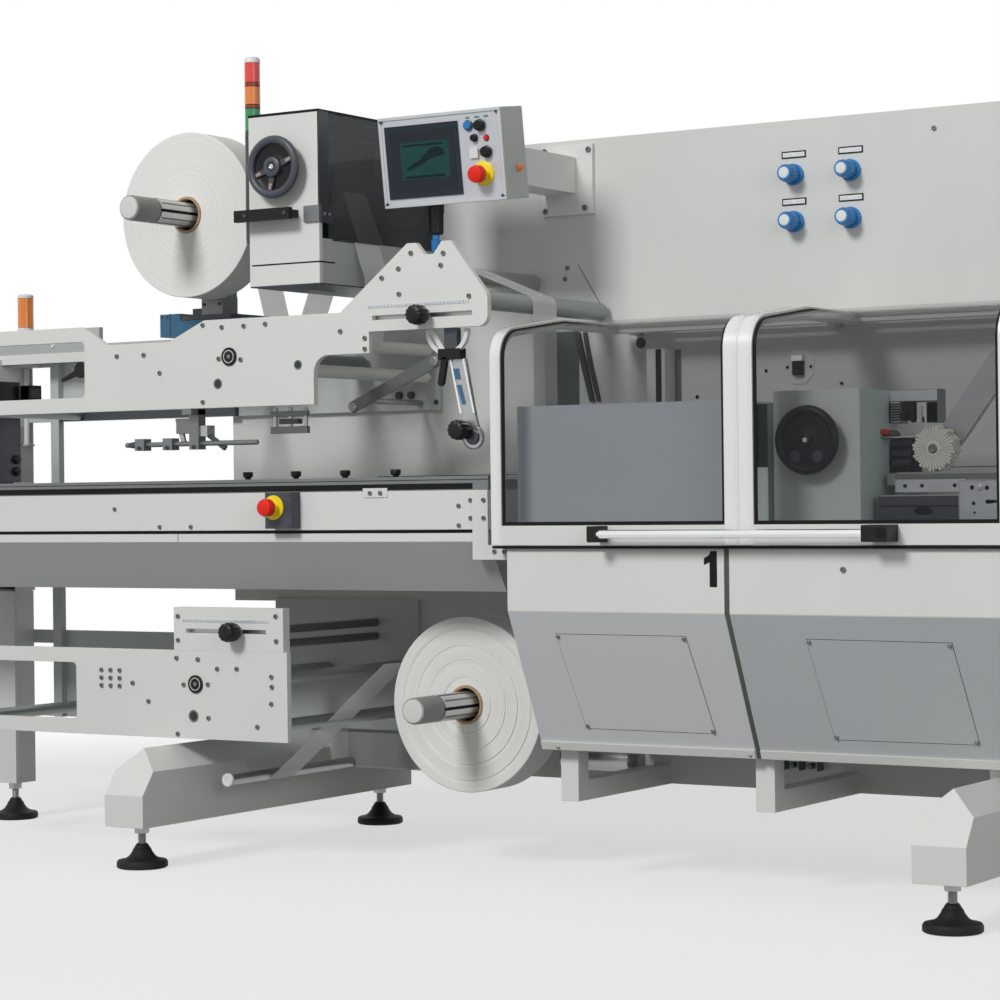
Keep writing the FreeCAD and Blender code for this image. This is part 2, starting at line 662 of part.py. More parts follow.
hub_gap = size("hub_gap", 8, "roll from its bearing hub")
shaft_inset = size("shaft_inset", 5, "end of a shaft inside its bearing")
upper_reel_at = size("upper_reel_at", -613, "upper reel")
upper_reel_high = size("upper_reel_high", 1540, "its height")
lower_reel_at = size("lower_reel_at", 181, "lower reel")
lower_reel_high = size("lower_reel_high", 375, "its height")
post_width = size("post_width", 70, "post that carries the upper reel")
post_depth = size("post_depth", 60, "post that carries the upper reel, front to back")
reel_base_half = size("reel_base_half", 110, "half length of the base under the upper reel")
reel_base_top = size("reel_base_top", 1300, "top of the base under the upper reel")
film_back = film_front + film_width
hub_front = film_back + hub_gap


def reel(name, x, z, bearing_back):
    """Film roll and core on their mandrel, whose shaft ends in the bearing behind."""
    node(f"{name}_film_roll", tube((x, film_front, z), "y", film_width, reel_radius, core_radius + fit_gap))
    node(f"{name}_reel_core", tube((x, film_front - core_proud, z), "y", film_width + core_proud,
                                   core_radius, core_radius - core_wall, FINE, FINE))
    node(f"{name}_mandrel", join(
        rod((x, mandrel_tip, z), "y", film_front - mandrel_tip, mandrel_radius, MEDIUM),
        rod((x, mandrel_tip, z), "y", sleeve_length, mandrel_radius + sleeve_wall, MEDIUM),
        rod((x, film_front, z), "y", film_width, core_radius - core_wall - fit_gap, MEDIUM),
        rod((x, film_back, z), "y", bearing_back - shaft_inset - film_back, shaft_radius)))


reel("upper", upper_reel_at, upper_reel_high, hub_front + post_depth)
reel("lower", lower_reel_at, lower_reel_high, wall_front)
reel_post = block((upper_reel_at - post_width / 2, hub_front, reel_base_top),
                  (upper_reel_at + post_width / 2, hub_front + post_depth, upper_reel_high + hub_radius))
reel_base = block((upper_reel_at - reel_base_half, hub_front, upper_dip),
                  (upper_reel_at + reel_base_half, wall_front + housing_depth / 2, reel_base_top))
reel_seat = block((upper_reel_at - reel_base_half, wall_front, upper_dip),
                  (upper_reel_at + reel_base_half, wall_front + housing_depth / 2, shoulder_top))
reel_bore = rod((upper_reel_at, hub_front - 1, upper_reel_high), "y", post_depth + 2,
                shaft_radius + shaft_play)
node("upper_reel_stand", cut(join(reel_post, reel_base), reel_seat, reel_bore))
node("lower_reel_hub", tube((lower_reel_at, hub_front, lower_reel_high), "y", wall_front - hub_front,
                            hub_radius, shaft_radius + shaft_play, FINE))
motor_length = size("motor_length", 65, "motor beside the upper reel")
motor_depth = size("motor_depth", 80, "that motor, front to back")
motor_low = size("motor_low", 1254, "underside of that motor")
motor_high = size("motor_high", 1311, "top of that motor")
base_side = upper_reel_at - reel_base_half
node("reel_motor", block((base_side - motor_length, hub_front, motor_low),
                         (base_side, hub_front + motor_depth, motor_high)))

# Film on its way: over the guide rollers, and from the lower reel to its web roller
web_thick = size("web_thick", 2, "thickness that stands for the film")
web_reel_gap = size("web_reel_gap", 6, "drawn film from the reel that it comes off")
web_rise = size("web_rise", 75, "where the film comes off the lower reel, over its middle")
web_roller_at = size("web_roller_at", -390, "web roller under the lower plates")
web_roller_high = size("web_roller_high", 191, "its height")
web_roller_radius = size("web_roller_radius", 13, "web roller")
web_roller_front = size("web_roller_front", -310, "front end of the web roller")
web_cap = size("web_cap", 16, "end cap of the web roller")
web_cap_thick = size("web_cap_thick", 8, "that cap")
touch_across = size("touch_across", 0.36, "where a web touches its roller, as a share of the radius")
touch_up = size("touch_up", 0.91, "height of that place, as a share of the radius")
bend_across = size("bend_across", 0.78, "bend round the second roller, as a share of the radius")
bend_up = size("bend_up", 0.66, "height of that place, as a share of the radius")


def web_bar():
    return rod((web_roller_at, web_roller_front, web_roller_high), "y", wall_front - web_roller_front,
               web_roller_radius, COARSE)


cap_start = (web_roller_at, web_roller_front - web_cap_thick, web_roller_high)
node("web_roller", join(web_bar(), rod(cap_start, "y", web_cap_thick, web_cap, MEDIUM)))


def web(low_corner, corners):
    """Film as wide as the reels, through corners measured from its lower left corner."""
    return profile("xz", (low_corner[0], film_front, low_corner[1]), corners, film_width)


web_span = guide_second_at - guide_first_at
web_low = guide_second_high - conveyor_top
web_over = guide_radius * touch_up
web_start = guide_radius * touch_across
web_first = guide_first_high + web_over - conveyor_top
web_edge = web_span + guide_radius
web_bend = (web_span + guide_radius * bend_across, web_low + guide_radius * bend_up)
upper_web = web((guide_first_at, conveyor_top), [
    (web_edge, 0), (web_edge + web_thick, 0), (web_edge + web_thick, web_low),
    (web_bend[0] + web_thick, web_bend[1] + web_thick),
    (web_span + web_start, web_low + web_over + web_thick), (web_start, web_first + web_thick),
    (web_start, web_first), (web_span + web_start, web_low + web_over), web_bend, (web_edge, web_low)])
lower_run = lower_reel_at - reel_radius - web_reel_gap - web_roller_at
lower_rise = lower_reel_high + web_rise - web_roller_high + web_roller_radius
lower_web = web((web_roller_at, web_roller_high - web_roller_radius), [
    (web_roller_radius / 2, 0), (lower_run, lower_rise), (lower_run, lower_rise + web_thick),
    (web_roller_radius / 2, web_thick)])
guides = [guide_roller(guide_first_at, guide_first_high), guide_roller(guide_second_at, guide_second_high)]
node("film_webs", group(cut(upper_web, *guides), cut(lower_web, web_bar())))

# Sensor bar under the upper plate
sensor_left = size("sensor_left", -677, "left end of the sensor bar")
sensor_right = size("sensor_right", -281, "right end of the sensor bar")
sensor_high = size("sensor_high", 980, "height of the sensor bar")
sensor_depth = size("sensor_depth", -325, "sensor bar, front to back")
sensor_radius = size("sensor_radius", 6, "sensor bar")
sensor_block = size("sensor_block", 14, "half side of the clamps on the sensor bar")
hanger_at = size("hanger_at", -460, "middle of the bracket that holds the sensor bar")
clamp_at = size("clamp_at", -625, "middle of the clamp near its left end")


def clamp(x, top):
    return block((x - sensor_block, sensor_depth - sensor_block, sensor_high - sensor_block),
                 (x + sensor_block, sensor_depth + sensor_block, top))


hanger_foot = block((hanger_at - sensor_block, plate_front, upper_bottom - sensor_block),
                    (hanger_at + sensor_block, sensor_depth + sensor_block, upper_bottom))
node("sensor_bar", join(
    rod((sensor_left, sensor_depth, sensor_high), "x", sensor_right - sensor_left, sensor_radius, COARSE),
    clamp(hanger_at, upper_bottom), hanger_foot, clamp(clamp_at, sensor_high + sensor_block)))

# Register box over the infeed
box_left = size("box_left", -318, "left side of the register box")
box_right = size("box_right", -118, "right side of the register box")
box_front = size("box_front", -300, "front face of the register box")
box_bottom = size("box_bottom", 1342, "underside of the register box")
box_top = size("box_top", 1739, "top of the register box")
box_skin = size("box_skin", 12, "front plate and side window of the register box")
box_glass_bottom = size("box_glass_bottom", 1445, "underside of the side window")
wheel_stand = size("wheel_stand", 30, "handwheel rim from the face behind it")
hub_clear = size("hub_clear", 6, "handwheel hub from the face behind it")
rim_radius = size("rim_radius", 10, "thickness of a handwheel rim")
spoke_radius = size("spoke_radius", 6, "handwheel spokes")
wheel_hub = size("wheel_hub", 18, "handwheel hubs")
axle_radius = size("axle_radius", 8, "handwheel axles")
axle_depth = size("axle_depth", 28, "handwheel axle inside its housing")
register_wheel_radius = size("register_wheel_radius", 73, "handwheel on the register box")
register_wheel_at = size("register_wheel_at", -225, "handwheel on the register box")
register_wheel_high = size("register_wheel_high", 1612, "its height")
SPOKES = 3


def wheel_hub_and_axle(x, face, z):
    """Hub in front of a face, with the axle that turns in it."""
    hub = rod((x, face - wheel_stand - rim_radius, z), "y", wheel_stand + rim_radius - hub_clear, wheel_hub,
              MEDIUM)
    return [hub, rod((x, face - hub_clear, z), "y", hub_clear + axle_depth, axle_radius)]


def axle_bore(x, face, z):
    return rod((x, face - 1, z), "y", axle_depth + hub_clear, axle_radius + shaft_play)


wheel_pieces = wheel_hub_and_axle(register_wheel_at, box_front, register_wheel_high)
wheel_ring = register_wheel_radius - rim_radius
wheel_middle = (register_wheel_at, box_front - wheel_stand, register_wheel_high)
wheel_pieces.append(ring(wheel_middle, wheel_ring, rim_radius))
for number in range(SPOKES):
    spoke = rod(wheel_middle, "z", wheel_ring, spoke_radius, COARSE)
    spoke.Placement.Rotation = FreeCAD.Rotation(FreeCAD.Vector(0, 1, 0), 90 + number * 360 / SPOKES)
    wheel_pieces.append(spoke)
node("register_handwheel", join(*wheel_pieces))
register_bore = axle_bore(register_wheel_at, box_front, register_wheel_high)
node("register_body", cut(
    join(block((box_left, box_front + box_skin, box_bottom), (box_right - box_skin, wall_front, box_top)),
         block((box_left, box_front + box_skin, box_bottom), (box_right, wall_front, box_glass_bottom))),
    register_bore))
node("register_front", cut(
    block((box_left, box_front, box_bottom), (box_right, box_front + box_skin, box_top)), register_bore))
node("register_window", block((box_right - box_skin, box_front + box_skin, box_glass_bottom),
                              (box_right, wall_front, box_top)))
pull_left = size("pull_left", -346, "left end of the handle on the register box")
pull_right = size("pull_right", -172, "right end of that handle")
pull_low = size("pull_low", 1492, "underside of that handle")
pull_height = size("pull_height", 22, "bar of that handle")
pull_stand = size("pull_stand", 29, "gap behind that handle")
pull_thick = size("pull_thick", 16, "thickness of that handle")
pull_leg = size("pull_leg", 40, "legs of that handle from its ends")
pull_front = box_front - pull_stand - pull_thick


def pull_foot(x):
    return block((x, box_front - pull_stand, pull_low), (x + pull_thick, box_front, pull_low + pull_height))


node("register_handle", join(
    block((pull_left, pull_front, pull_low), (pull_right, box_front - pull_stand, pull_low + pull_height)),
    pull_foot(pull_left + pull_leg), pull_foot(pull_right - pull_leg / 2)))

# Stack light beside the register box
light_radius = size("light_radius", 19, "stack light")
light_at = size("light_at", -351, "stack light, along the machine")
light_depth = size("light_depth", -240, "stack light, front to back")
light_top = size("light_top", 1888, "top of the stack light")
pole_bottom = size("pole_bottom", 1450, "lower end of the stack light pole")
clip_height = size("clip_height", 40, "clip that holds the stack light pole")
clip_half = size("clip_half", 8, "half depth of that clip")
node("stack_light", join(
    rod((light_at, light_depth, pole_bottom), "z", light_top - pole_bottom, light_radius, MEDIUM),
    block((light_at, light_depth - clip_half, pole_bottom + clip_height / 2),
          (box_left, light_depth + clip_half, pole_bottom + 3 * clip_height / 2))))

# Guard over the sealing section
guard_left = size("guard_left", 413, "left end of the guard")
guard_front = size("guard_front", -415, "front face of the guard")
guard_bottom = size("guard_bottom", 742, "underside of the guard")
guard_shoulder = size("guard_shoulder", 1205, "where the guard's front meets its roof")
guard_top = size("guard_top", 1240, "top of the guard")
guard_crown = size("guard_crown", 265, "guard front to where the roof levels")
guard_back = size("guard_back", 130, "rear edge of the guard")
guard_frame_depth = size("guard_frame_depth", 20, "thickness of the guard frame")
glass_set_back = size("glass_set_back", 7, "glass behind the face of the frame")
glass_thickness = size("glass_thickness", 5, "guard glass")
stile_width = size("stile_width", 26, "end stiles of the guard")
mullion_width = size("mullion_width", 66, "middle stile of the guard")
mullion_left = size("mullion_left", 978, "left side of the middle stile")
rail_height = size("rail_height", 42, "bottom rail of the guard")
roof_rail = size("roof_rail", 40, "rail along the rear edge of the guard")
bend_radius = size("bend_radius", 70, "bend between front and roof")
hinge_back = size("hinge_back", 23, "guard hinge axis from the wall")
hinge_drop = size("hinge_drop", 10, "guard hinge axis below the guard's top")
hinge_pin = size("hinge_pin", 6, "hinge rod")
knuckle_radius = size("knuckle_radius", 12, "hinge knuckles")
knuckle_length = size("knuckle_length", 60, "hinge knuckles along the rod")
tongue_half = size("tongue_half", 8, "half thickness of a hinge tongue")
hinge_inset = size("hinge_inset", 60, "hinge knuckles from the ends of the guard")
hinge_side_gap = size("hinge_side_gap", 5, "knuckle from the bracket beside it")
bracket_length = size("bracket_length", 30, "hinge brackets along the rod")


def guard_shell(inset, thickness):
    """Bent sheet that follows the guard's front and roof, set in from its outer face."""
    slope = (guard_top - guard_shoulder) / guard_crown
    stretch = 1 + slope * slope / 2
    height = guard_top - guard_bottom
    shoulder = guard_shoulder - guard_bottom
    run = guard_back - guard_front

    def corner(offset):
        return (offset, shoulder + slope * offset - stretch * offset)

    def crown(offset):
        return (guard_crown + (stretch - 1) * offset / slope, height - offset)

    inner = inset + thickness
    return profile(
        "yz", (guard_left, guard_front, guard_bottom),
        [(inset, 0), (inner, 0), corner(inner), crown(inner), (run, height - inner),
         (run, height - inset), crown(inset), corner(inset)],
        machine_right - guard_left,
        rounds=[(7, bend_radius - inset), (2, bend_radius - inner)])


def guard_window(left, right):
    return block((left, guard_front - 1, guard_bottom + rail_height),
                 (right, guard_back - roof_rail, guard_top + 1))


def guard_windows():
    return [guard_window(guard_left + stile_width, mullion_left),
            guard_window(mullion_left + mullion_width, machine_right - stile_width)]


hinge_depth = wall_front - hinge_back
hinge_height = guard_top - hinge_drop
knuckle_spots = [guard_left + hinge_inset, mullion_left + mullion_width / 2 - knuckle_length / 2,
                 machine_right - hinge_inset - knuckle_length]
bracket_spots = [knuckle_spots[0] - hinge_side_gap - bracket_length,
                 knuckle_spots[1] - hinge_side_gap - bracket_length,
                 knuckle_spots[2] + knuckle_length + hinge_side_gap]


def knuckle(x):
    barrel = rod((x, hinge_depth, hinge_height), "x", knuckle_length, knuckle_radius, COARSE)
    tongue = block((x, guard_back - 1, hinge_height - tongue_half),
                   (x + knuckle_length, hinge_depth, hinge_height + tongue_half))
    return join(barrel, tongue)


def hinge_bracket(x):
    return block((x, hinge_depth - knuckle_radius, hinge_height - knuckle_radius),
                 (x + bracket_length, wall_front, hinge_height + knuckle_radius))


knuckles = [knuckle(x) for x in knuckle_spots]
framed = join(cut(guard_shell(0, guard_frame_depth), *guard_windows()), *knuckles)
pin_hole = rod((guard_left - 1, hinge_depth, hinge_height), "x", machine_right - guard_left + 2,
               hinge_pin + shaft_play)
node("guard_frame", cut(framed, pin_hole))
node("guard_glass", overlap(guard_shell(glass_set_back, glass_thickness), join(*guard_windows())))
pin_length = bracket_spots[2] + bracket_length - bracket_spots[0]
node("guard_hinge", join(*[hinge_bracket(x) for x in bracket_spots],
                         rod((bracket_spots[0], hinge_depth, hinge_height), "x", pin_length, hinge_pin)))

# Guard handle
handle_height = size("handle_height", 766, "guard handle")
handle_stand = size("handle_stand", 42, "guard handle in front of the guard")
handle_radius = size("handle_radius", 9, "guard handle tube")
grip_left = size("grip_left", 662, "left end of the left handle bracket")
grip_right = size("grip_right", 1362, "right end of the right handle bracket")
grip_width = size("grip_width", 40, "handle brackets")
grip_half = size("grip_half", 17, "half height of the handle brackets")
grip_wrap = size("grip_wrap", 12, "handle brackets in front of the tube's axis")


def grip(x):
    return block((x, guard_front - handle_stand - grip_wrap, handle_height - grip_half),
                 (x + grip_width, guard_front, handle_height + grip_half))


handle_tube = rod((grip_left + grip_width, guard_front - handle_stand, handle_height), "x",
                  grip_right - grip_left - 2 * grip_width, handle_radius, MEDIUM)
node("guard_handle", join(grip(grip_left), grip(grip_right - grip_width), handle_tube))

# Casings under the guard, with their sloping fronts, and the posts they stand on
deck_top = size("deck_top", 735, "top of the machine deck")
casing_front = size("casing_front", -405, "front face of the casings")
casing_split = size("casing_split", 970, "right side of the left casing")
casing_gap = size("casing_gap", 12, "gap between the two casings")
casing_bend = size("casing_bend", 602, "where the casings start to slope back")
casing_bottom = size("casing_bottom", 292, "underside of the casings")
casing_slope = size("casing_slope", 140, "how far the casings slope back")
prop_side = size("prop_side", 44, "square posts under the casings")
prop_front = size("prop_front", -235, "front of the posts under the casings")
prop_left = size("prop_left", 473, "left post")
prop_middle = size("prop_middle", 951, "middle post")


def casing(left, right):
    height = deck_top - casing_bottom
    depth = wall_front - casing_front
    return profile(
        "yz", (left, casing_front, casing_bottom),
        [(casing_slope, 0), (depth, 0), (depth, height), (0, height), (0, casing_bend - casing_bottom)],
        right - left)


def prop(x):
    """Post under a casing, on an arm that comes out of the base cabinet."""
    post = block((x, prop_front, base_bottom), (x + prop_side, prop_front + prop_side, casing_bottom))
    arm = block((x, prop_front, base_bottom), (x + prop_side, wall_front, base_bottom + prop_side))
    return join(post, arm)


node("front_casing_left", casing(casing_left, casing_split))
node("front_casing_right", casing(casing_split + casing_gap, machine_right))
saddle = block((beam_right_at - prop_side / 2, prop_front, beam_lip),
               (beam_right_at + prop_side / 2, prop_front + prop_side, casing_bottom))
node("casing_props", group(prop(prop_left), prop(prop_middle), cut(saddle, foot_beam(beam_right_at))))

# Inside the guard
path_front = size("path_front", -210, "front side of the product tunnel")
path_back = size("path_back", -90, "back side of the product tunnel")
path_height = size("path_height", 60, "height of the product tunnel")
cover_left = size("cover_left", 428, "left end of the forming cover")
cover_right = size("cover_right", 930, "right end of the forming cover")
cover_front = size("cover_front", -330, "front of the forming cover")
cover_back = size("cover_back", -60, "back of the forming cover")
cover_top = size("cover_top", 1042, "top of the forming cover")
jaw_left = size("jaw_left", 1009, "left side of the jaw housing")
jaw_right = size("jaw_right", 1205, "right side of the jaw housing")
jaw_front = size("jaw_front", -250, "front face of the jaw housing")
jaw_back = size("jaw_back", -60, "back of the jaw housing")
jaw_top = size("jaw_top", 1060, "top of the jaw housing")
jaw_plate_left = size("jaw_plate_left", 945, "left side of the plate before the jaws")
jaw_plate_right = size("jaw_plate_right", 990, "right side of the plate before the jaws")
jaw_plate_top = size("jaw_plate_top", 1036, "top of the plate before the jaws")
jaw_wheel_at = size("jaw_wheel_at", 1100, "handwheel on the jaw housing")
jaw_wheel_high = size("jaw_wheel_high", 956, "its height")
jaw_wheel_radius = size("jaw_wheel_radius", 72, "handwheel on the jaw housing, over its rim")
wheel_web = size("wheel_web", 10, "solid web of that handwheel")


def tunnel(left, right):
    """Cutter for the way that the products take through a housing."""
    return block((left - 1, path_front, bed_top), (right + 1, path_back, bed_top + path_height))


def with_tunnel(left, right, front, top):
    housing = block((left, front, deck_top), (right, cover_back, top))
    return cut(housing, tunnel(left, right))


node("forming_cover", with_tunnel(cover_left, cover_right, cover_front, cover_top))
jaw_box = cut(block((jaw_left, jaw_front, deck_top), (jaw_right, jaw_back, jaw_top)),
              tunnel(jaw_left, jaw_right), axle_bore(jaw_wheel_at, jaw_front, jaw_wheel_high))
jaw_plate_lap = size("jaw_plate_lap", 30, "plate before the jaws, in front of the tunnel")
jaw_plate = with_tunnel(jaw_plate_left, jaw_plate_right, path_front - jaw_plate_lap, jaw_plate_top)
node("jaw_housing", group(jaw_box, jaw_plate))
jaw_ring = jaw_wheel_radius - rim_radius
web_front = jaw_front - wheel_stand - wheel_web / 2
node("jaw_handwheel", join(
    rod((jaw_wheel_at, web_front, jaw_wheel_high), "y", wheel_web, jaw_ring, FINE),
    ring((jaw_wheel_at, jaw_front - wheel_stand, jaw_wheel_high), jaw_ring, rim_radius),
    *wheel_hub_and_axle(jaw_wheel_at, jaw_front, jaw_wheel_high)))

# Outfeed behind the jaws
outfeed_gap = size("outfeed_gap", 15, "outfeed from the jaw housing")
outfeed_inset = size("outfeed_inset", 10, "outfeed from the right end of the machine")
outfeed_back = size("outfeed_back", -30, "back of the outfeed bed")
outfeed_front = size("outfeed_front", -150, "front of the outfeed bed")
outfeed_thick = size("outfeed_thick", 24, "outfeed bed")
drive_front = size("drive_front", -200, "front of the outfeed drive")
drive_right = size("drive_right", 1400, "right side of the outfeed drive")
drive_top = size("drive_top", 840, "top of the outfeed drive")
strut_width = size("strut_width", 40, "struts under the outfeed bed")
carriage_arm = size("carriage_arm", 25, "thickness of the jaw carriage arms")
carriage_front = size("carriage_front", -104, "front of the jaw carriage")
carriage_back = size("carriage_back", -62, "back of the jaw carriage")
carriage_reach = size("carriage_reach", 110, "jaw carriage from the jaw housing")
carriage_low = size("carriage_low", 990, "underside of the jaw carriage")
brush_at = size("brush_at", 1323, "round brush over the outfeed")
brush_high = size("brush_high", 935, "its height")
brush_radius = size("brush_radius", 44, "round brush over the outfeed")
brush_front = size("brush_front", -150, "front of the round brush")
brush_length = size("brush_length", 45, "round brush")
brush_shaft = size("brush_shaft", 8, "shaft of the round brush and pivot of its arm")
swing_run = size("swing_run", 135, "brush arm from the brush to its pivot, along the machine")
swing_rise = size("swing_rise", 180, "its rise")
swing_half = size("swing_half", 20, "half width of the brush arm, along the machine")
swing_thick = size("swing_thick", 15, "thickness of the brush arm")
bracket_low = size("bracket_low", 788, "underside of the bracket under the outfeed")
bracket_high = size("bracket_high", 869, "top of the bracket under the outfeed")
bracket_thick = size("bracket_thick", 4, "sheet of that bracket")
outfeed_left = jaw_right + outfeed_gap
outfeed_right = machine_right - outfeed_inset
outfeed_bottom = bed_top - outfeed_thick


def strut(x, low):
    return block((x, outfeed_front + strut_width, low), (x + strut_width, outfeed_back, outfeed_bottom))


node("outfeed_conveyor", join(
    block((outfeed_left, outfeed_front, outfeed_bottom), (outfeed_right, outfeed_back, bed_top)),
    block((outfeed_left, drive_front, deck_top), (drive_right, outfeed_back, drive_top)),
    block((drive_right, drive_front, bracket_low),
          (outfeed_right, drive_front + bracket_thick, bracket_high)),
    strut(outfeed_left, drive_top), strut(outfeed_right - strut_width, deck_top)))
node("jaw_carriage", join(
    block((jaw_right, carriage_front, carriage_low), (jaw_right + carriage_arm, carriage_back, jaw_top)),
    block((jaw_right, carriage_front, jaw_top - carriage_arm),
          (jaw_right + carriage_reach, carriage_back, jaw_top)),
    block((jaw_right + carriage_reach - carriage_arm, carriage_front, carriage_low),
          (jaw_right + carriage_reach, carriage_back, jaw_top))))
brush_back = brush_front + brush_length
swing_arm = profile(
    "xz", (brush_at - swing_half, brush_back, brush_high - swing_half),
    [(0, 0), (2 * swing_half, 0), (swing_run + 2 * swing_half, swing_rise),
     (swing_run + 2 * swing_half, swing_rise + 2 * swing_half), (swing_run, swing_rise + 2 * swing_half),
     (0, 2 * swing_half)], swing_thick)
pivot = rod((brush_at + swing_run, brush_back, brush_high + swing_rise), "y", wall_front - brush_back,
            brush_shaft, COARSE)
node("brush_wheel", join(
    rod((brush_at, brush_front, brush_high), "y", brush_length, brush_radius, FINE), swing_arm, pivot))

# Operator panel, leaning over the operator
panel_tilt = size("panel_tilt", 7.7, "lean of the operator panel")
panel_left = size("panel_left", -10, "left side of the operator panel")
panel_width = size("panel_width", 333, "operator panel")
panel_height = size("panel_height", 207, "operator panel, along its lean")
panel_depth = size("panel_depth", 95, "operator panel, front to back")
panel_foot = size("panel_foot", -190, "lower front edge of the operator panel")
panel_low = size("panel_low", 1512, "height of that edge")
screen_left = size("screen_left", 18, "screen from the left side of the panel")
screen_right = size("screen_right", 218, "right side of the screen")
screen_low = size("screen_low", 20, "underside of the screen")
screen_high = size("screen_high", 185, "top of the screen")
screen_proud = size("screen_proud", 3, "screen in front of the panel")
button_radius = size("button_radius", 9, "push buttons")
button_proud = size("button_proud", 8, "push buttons in front of the panel")
button_column = size("button_column", 246, "left column of buttons")
button_step = size("button_step", 34, "between the two columns of buttons")
button_low = size("button_low", 108, "lowest row of buttons")
button_pitch = size("button_pitch", 32, "between two rows of buttons")
stop_disc = size("stop_disc", 28, "yellow disc of an emergency stop")
stop_disc_thick = size("stop_disc_thick", 4, "that disc")
stop_stem = size("stop_stem", 13, "stem of an emergency stop")
stop_head = size("stop_head", 20, "head of an emergency stop")
stop_rise = size("stop_rise", 12, "head of an emergency stop from its disc")
stop_head_thick = size("stop_head_thick", 26, "head of an emergency stop")
panel_stop_at = size("panel_stop_at", 272, "emergency stop from the left side of the panel")
panel_stop_high = size("panel_stop_high", 56, "its height")
arm_side = size("arm_side", 85, "square arm behind the operator panel")
arm_from_left = size("arm_from_left", 210, "that arm from the left side of the panel")
arm_low = size("arm_low", 1560, "underside of that arm")
flange_left = size("flange_left", 190, "left side of the arm's wall flange")
flange_right = size("flange_right", 330, "right side of the arm's wall flange")
flange_low = size("flange_low", 1510, "underside of the flange")
flange_high = size("flange_high", 1675, "top of the flange")
flange_thick = size("flange_thick", 10, "the arm's wall flange")
BUTTON_ROWS = 3
lean = FreeCAD.Rotation(FreeCAD.Vector(1, 0, 0), panel_tilt.value)


def on_panel(obj):
    """Moves a piece from the panel's own corner to its leaning place."""
    place(obj, (panel_left, panel_foot, panel_low), lean)
    obj.setExpression("Placement.Rotation.Angle", panel_tilt.text)
    return obj


def stop_button(x, face, z):
    """Mushroom head on a stem and a round disc."""
    stem_face = face - stop_disc_thick - stop_rise
    return join(rod((x, face - stop_disc_thick, z), "y", stop_disc_thick, stop_disc, MEDIUM),
                rod((x, stem_face, z), "y", stop_rise, stop_stem, COARSE),
                rod((x, stem_face - stop_head_thick, z), "y", stop_head_thick, stop_head, MEDIUM))


def push_button(column, row):
    start = (button_column + column * button_step, 0 - button_proud, button_low + row * button_pitch)
    return rod(start, "y", button_proud, button_radius, COARSE)


node("hmi_box", on_panel(group(block((0, 0, 0), (panel_width, panel_depth, panel_height)))))
buttons = [push_button(column, row) for column in range(2) for row in range(BUTTON_ROWS)]
screen = block((screen_left, 0 - screen_proud, screen_low), (screen_right, 0, screen_high))
panel_stop = stop_button(panel_stop_at, term(0), panel_stop_high)
node("hmi_controls", on_panel(group(screen, panel_stop, *buttons)))
arm_left_side = panel_left + arm_from_left
hmi_reach = block((arm_left_side, panel_foot, arm_low),
                  (arm_left_side + arm_side, wall_front - flange_thick, arm_low + arm_side))
lean_cut = on_panel(group(block((0, 0 - panel_depth, 0), (panel_width, panel_depth, panel_height))))
node("hmi_arm", join(
    cut(hmi_reach, lean_cut),
    block((flange_left, wall_front - flange_thick, flange_low), (flange_right, wall_front, flange_high))))

# Air regulators on the backboard
regulator_left = size("regulator_left", 850, "left column of regulators")
regulator_step = size("regulator_step", 140, "between the two columns of regulators")
regulator_low = size("regulator_low", 1458, "lower row of regulators")
regulator_pitch = size("regulator_pitch", 106, "between the two rows of regulators")
regulator_base = size("regulator_base", 24, "collar of a regulator")
regulator_base_thick = size("regulator_base_thick", 12, "collar of a regulator")
regulator_radius = size("regulator_radius", 20, "knob of a regulator")
regulator_length = size("regulator_length", 43, "knob of a regulator")


def regulator(x, z):
    face = wall_front - regulator_base_thick
    return join(rod((x, face, z), "y", regulator_base_thick, regulator_base, MEDIUM),
                rod((x, face - regulator_length, z), "y", regulator_length, regulator_radius, MEDIUM))


node("air_regulators", group(*[
    regulator(regulator_left + column * regulator_step, regulator_low + row * regulator_pitch)
    for column in range(2) for row in range(2)]))

# Emergency stop on the conveyor
estop_left = size("estop_left", -207, "left side of the emergency stop box")
estop_width = size("estop_width", 86, "emergency stop box")
estop_depth = size("estop_depth", 35, "emergency stop box, front to back")
estop_at = size("estop_at", -174, "emergency stop button on the conveyor")
estop_high = size("estop_high", 826, "its height")
node("estop_station", join(
    block((estop_left, conveyor_front - estop_depth, beam_face_bottom),
          (estop_left + estop_width, conveyor_front, beam_face_top)),
    stop_button(estop_at, conveyor_front - estop_depth, estop_high)))

doc.recompute()

broken = [obj.Label for obj in doc.Objects if "Invalid" in obj.State or "Error" in obj.State]
if broken:
    raise RuntimeError(f"not rebuilt: {broken}")
for name, obj in nodes.items():
    if obj.Shape.isNull() or not obj.Shape.isValid():
        raise RuntimeError(f"{name} has no valid shape")

os.makedirs("parts", exist_ok=True)
for name, obj in nodes.items():
    obj.Shape.exportStep(os.path.join("parts", f"{name}.step"))
    print(name, len(obj.Shape.Solids), round(obj.Shape.Volume))
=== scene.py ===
import math

import bmesh
import bpy
from mathutils import Matrix, Vector


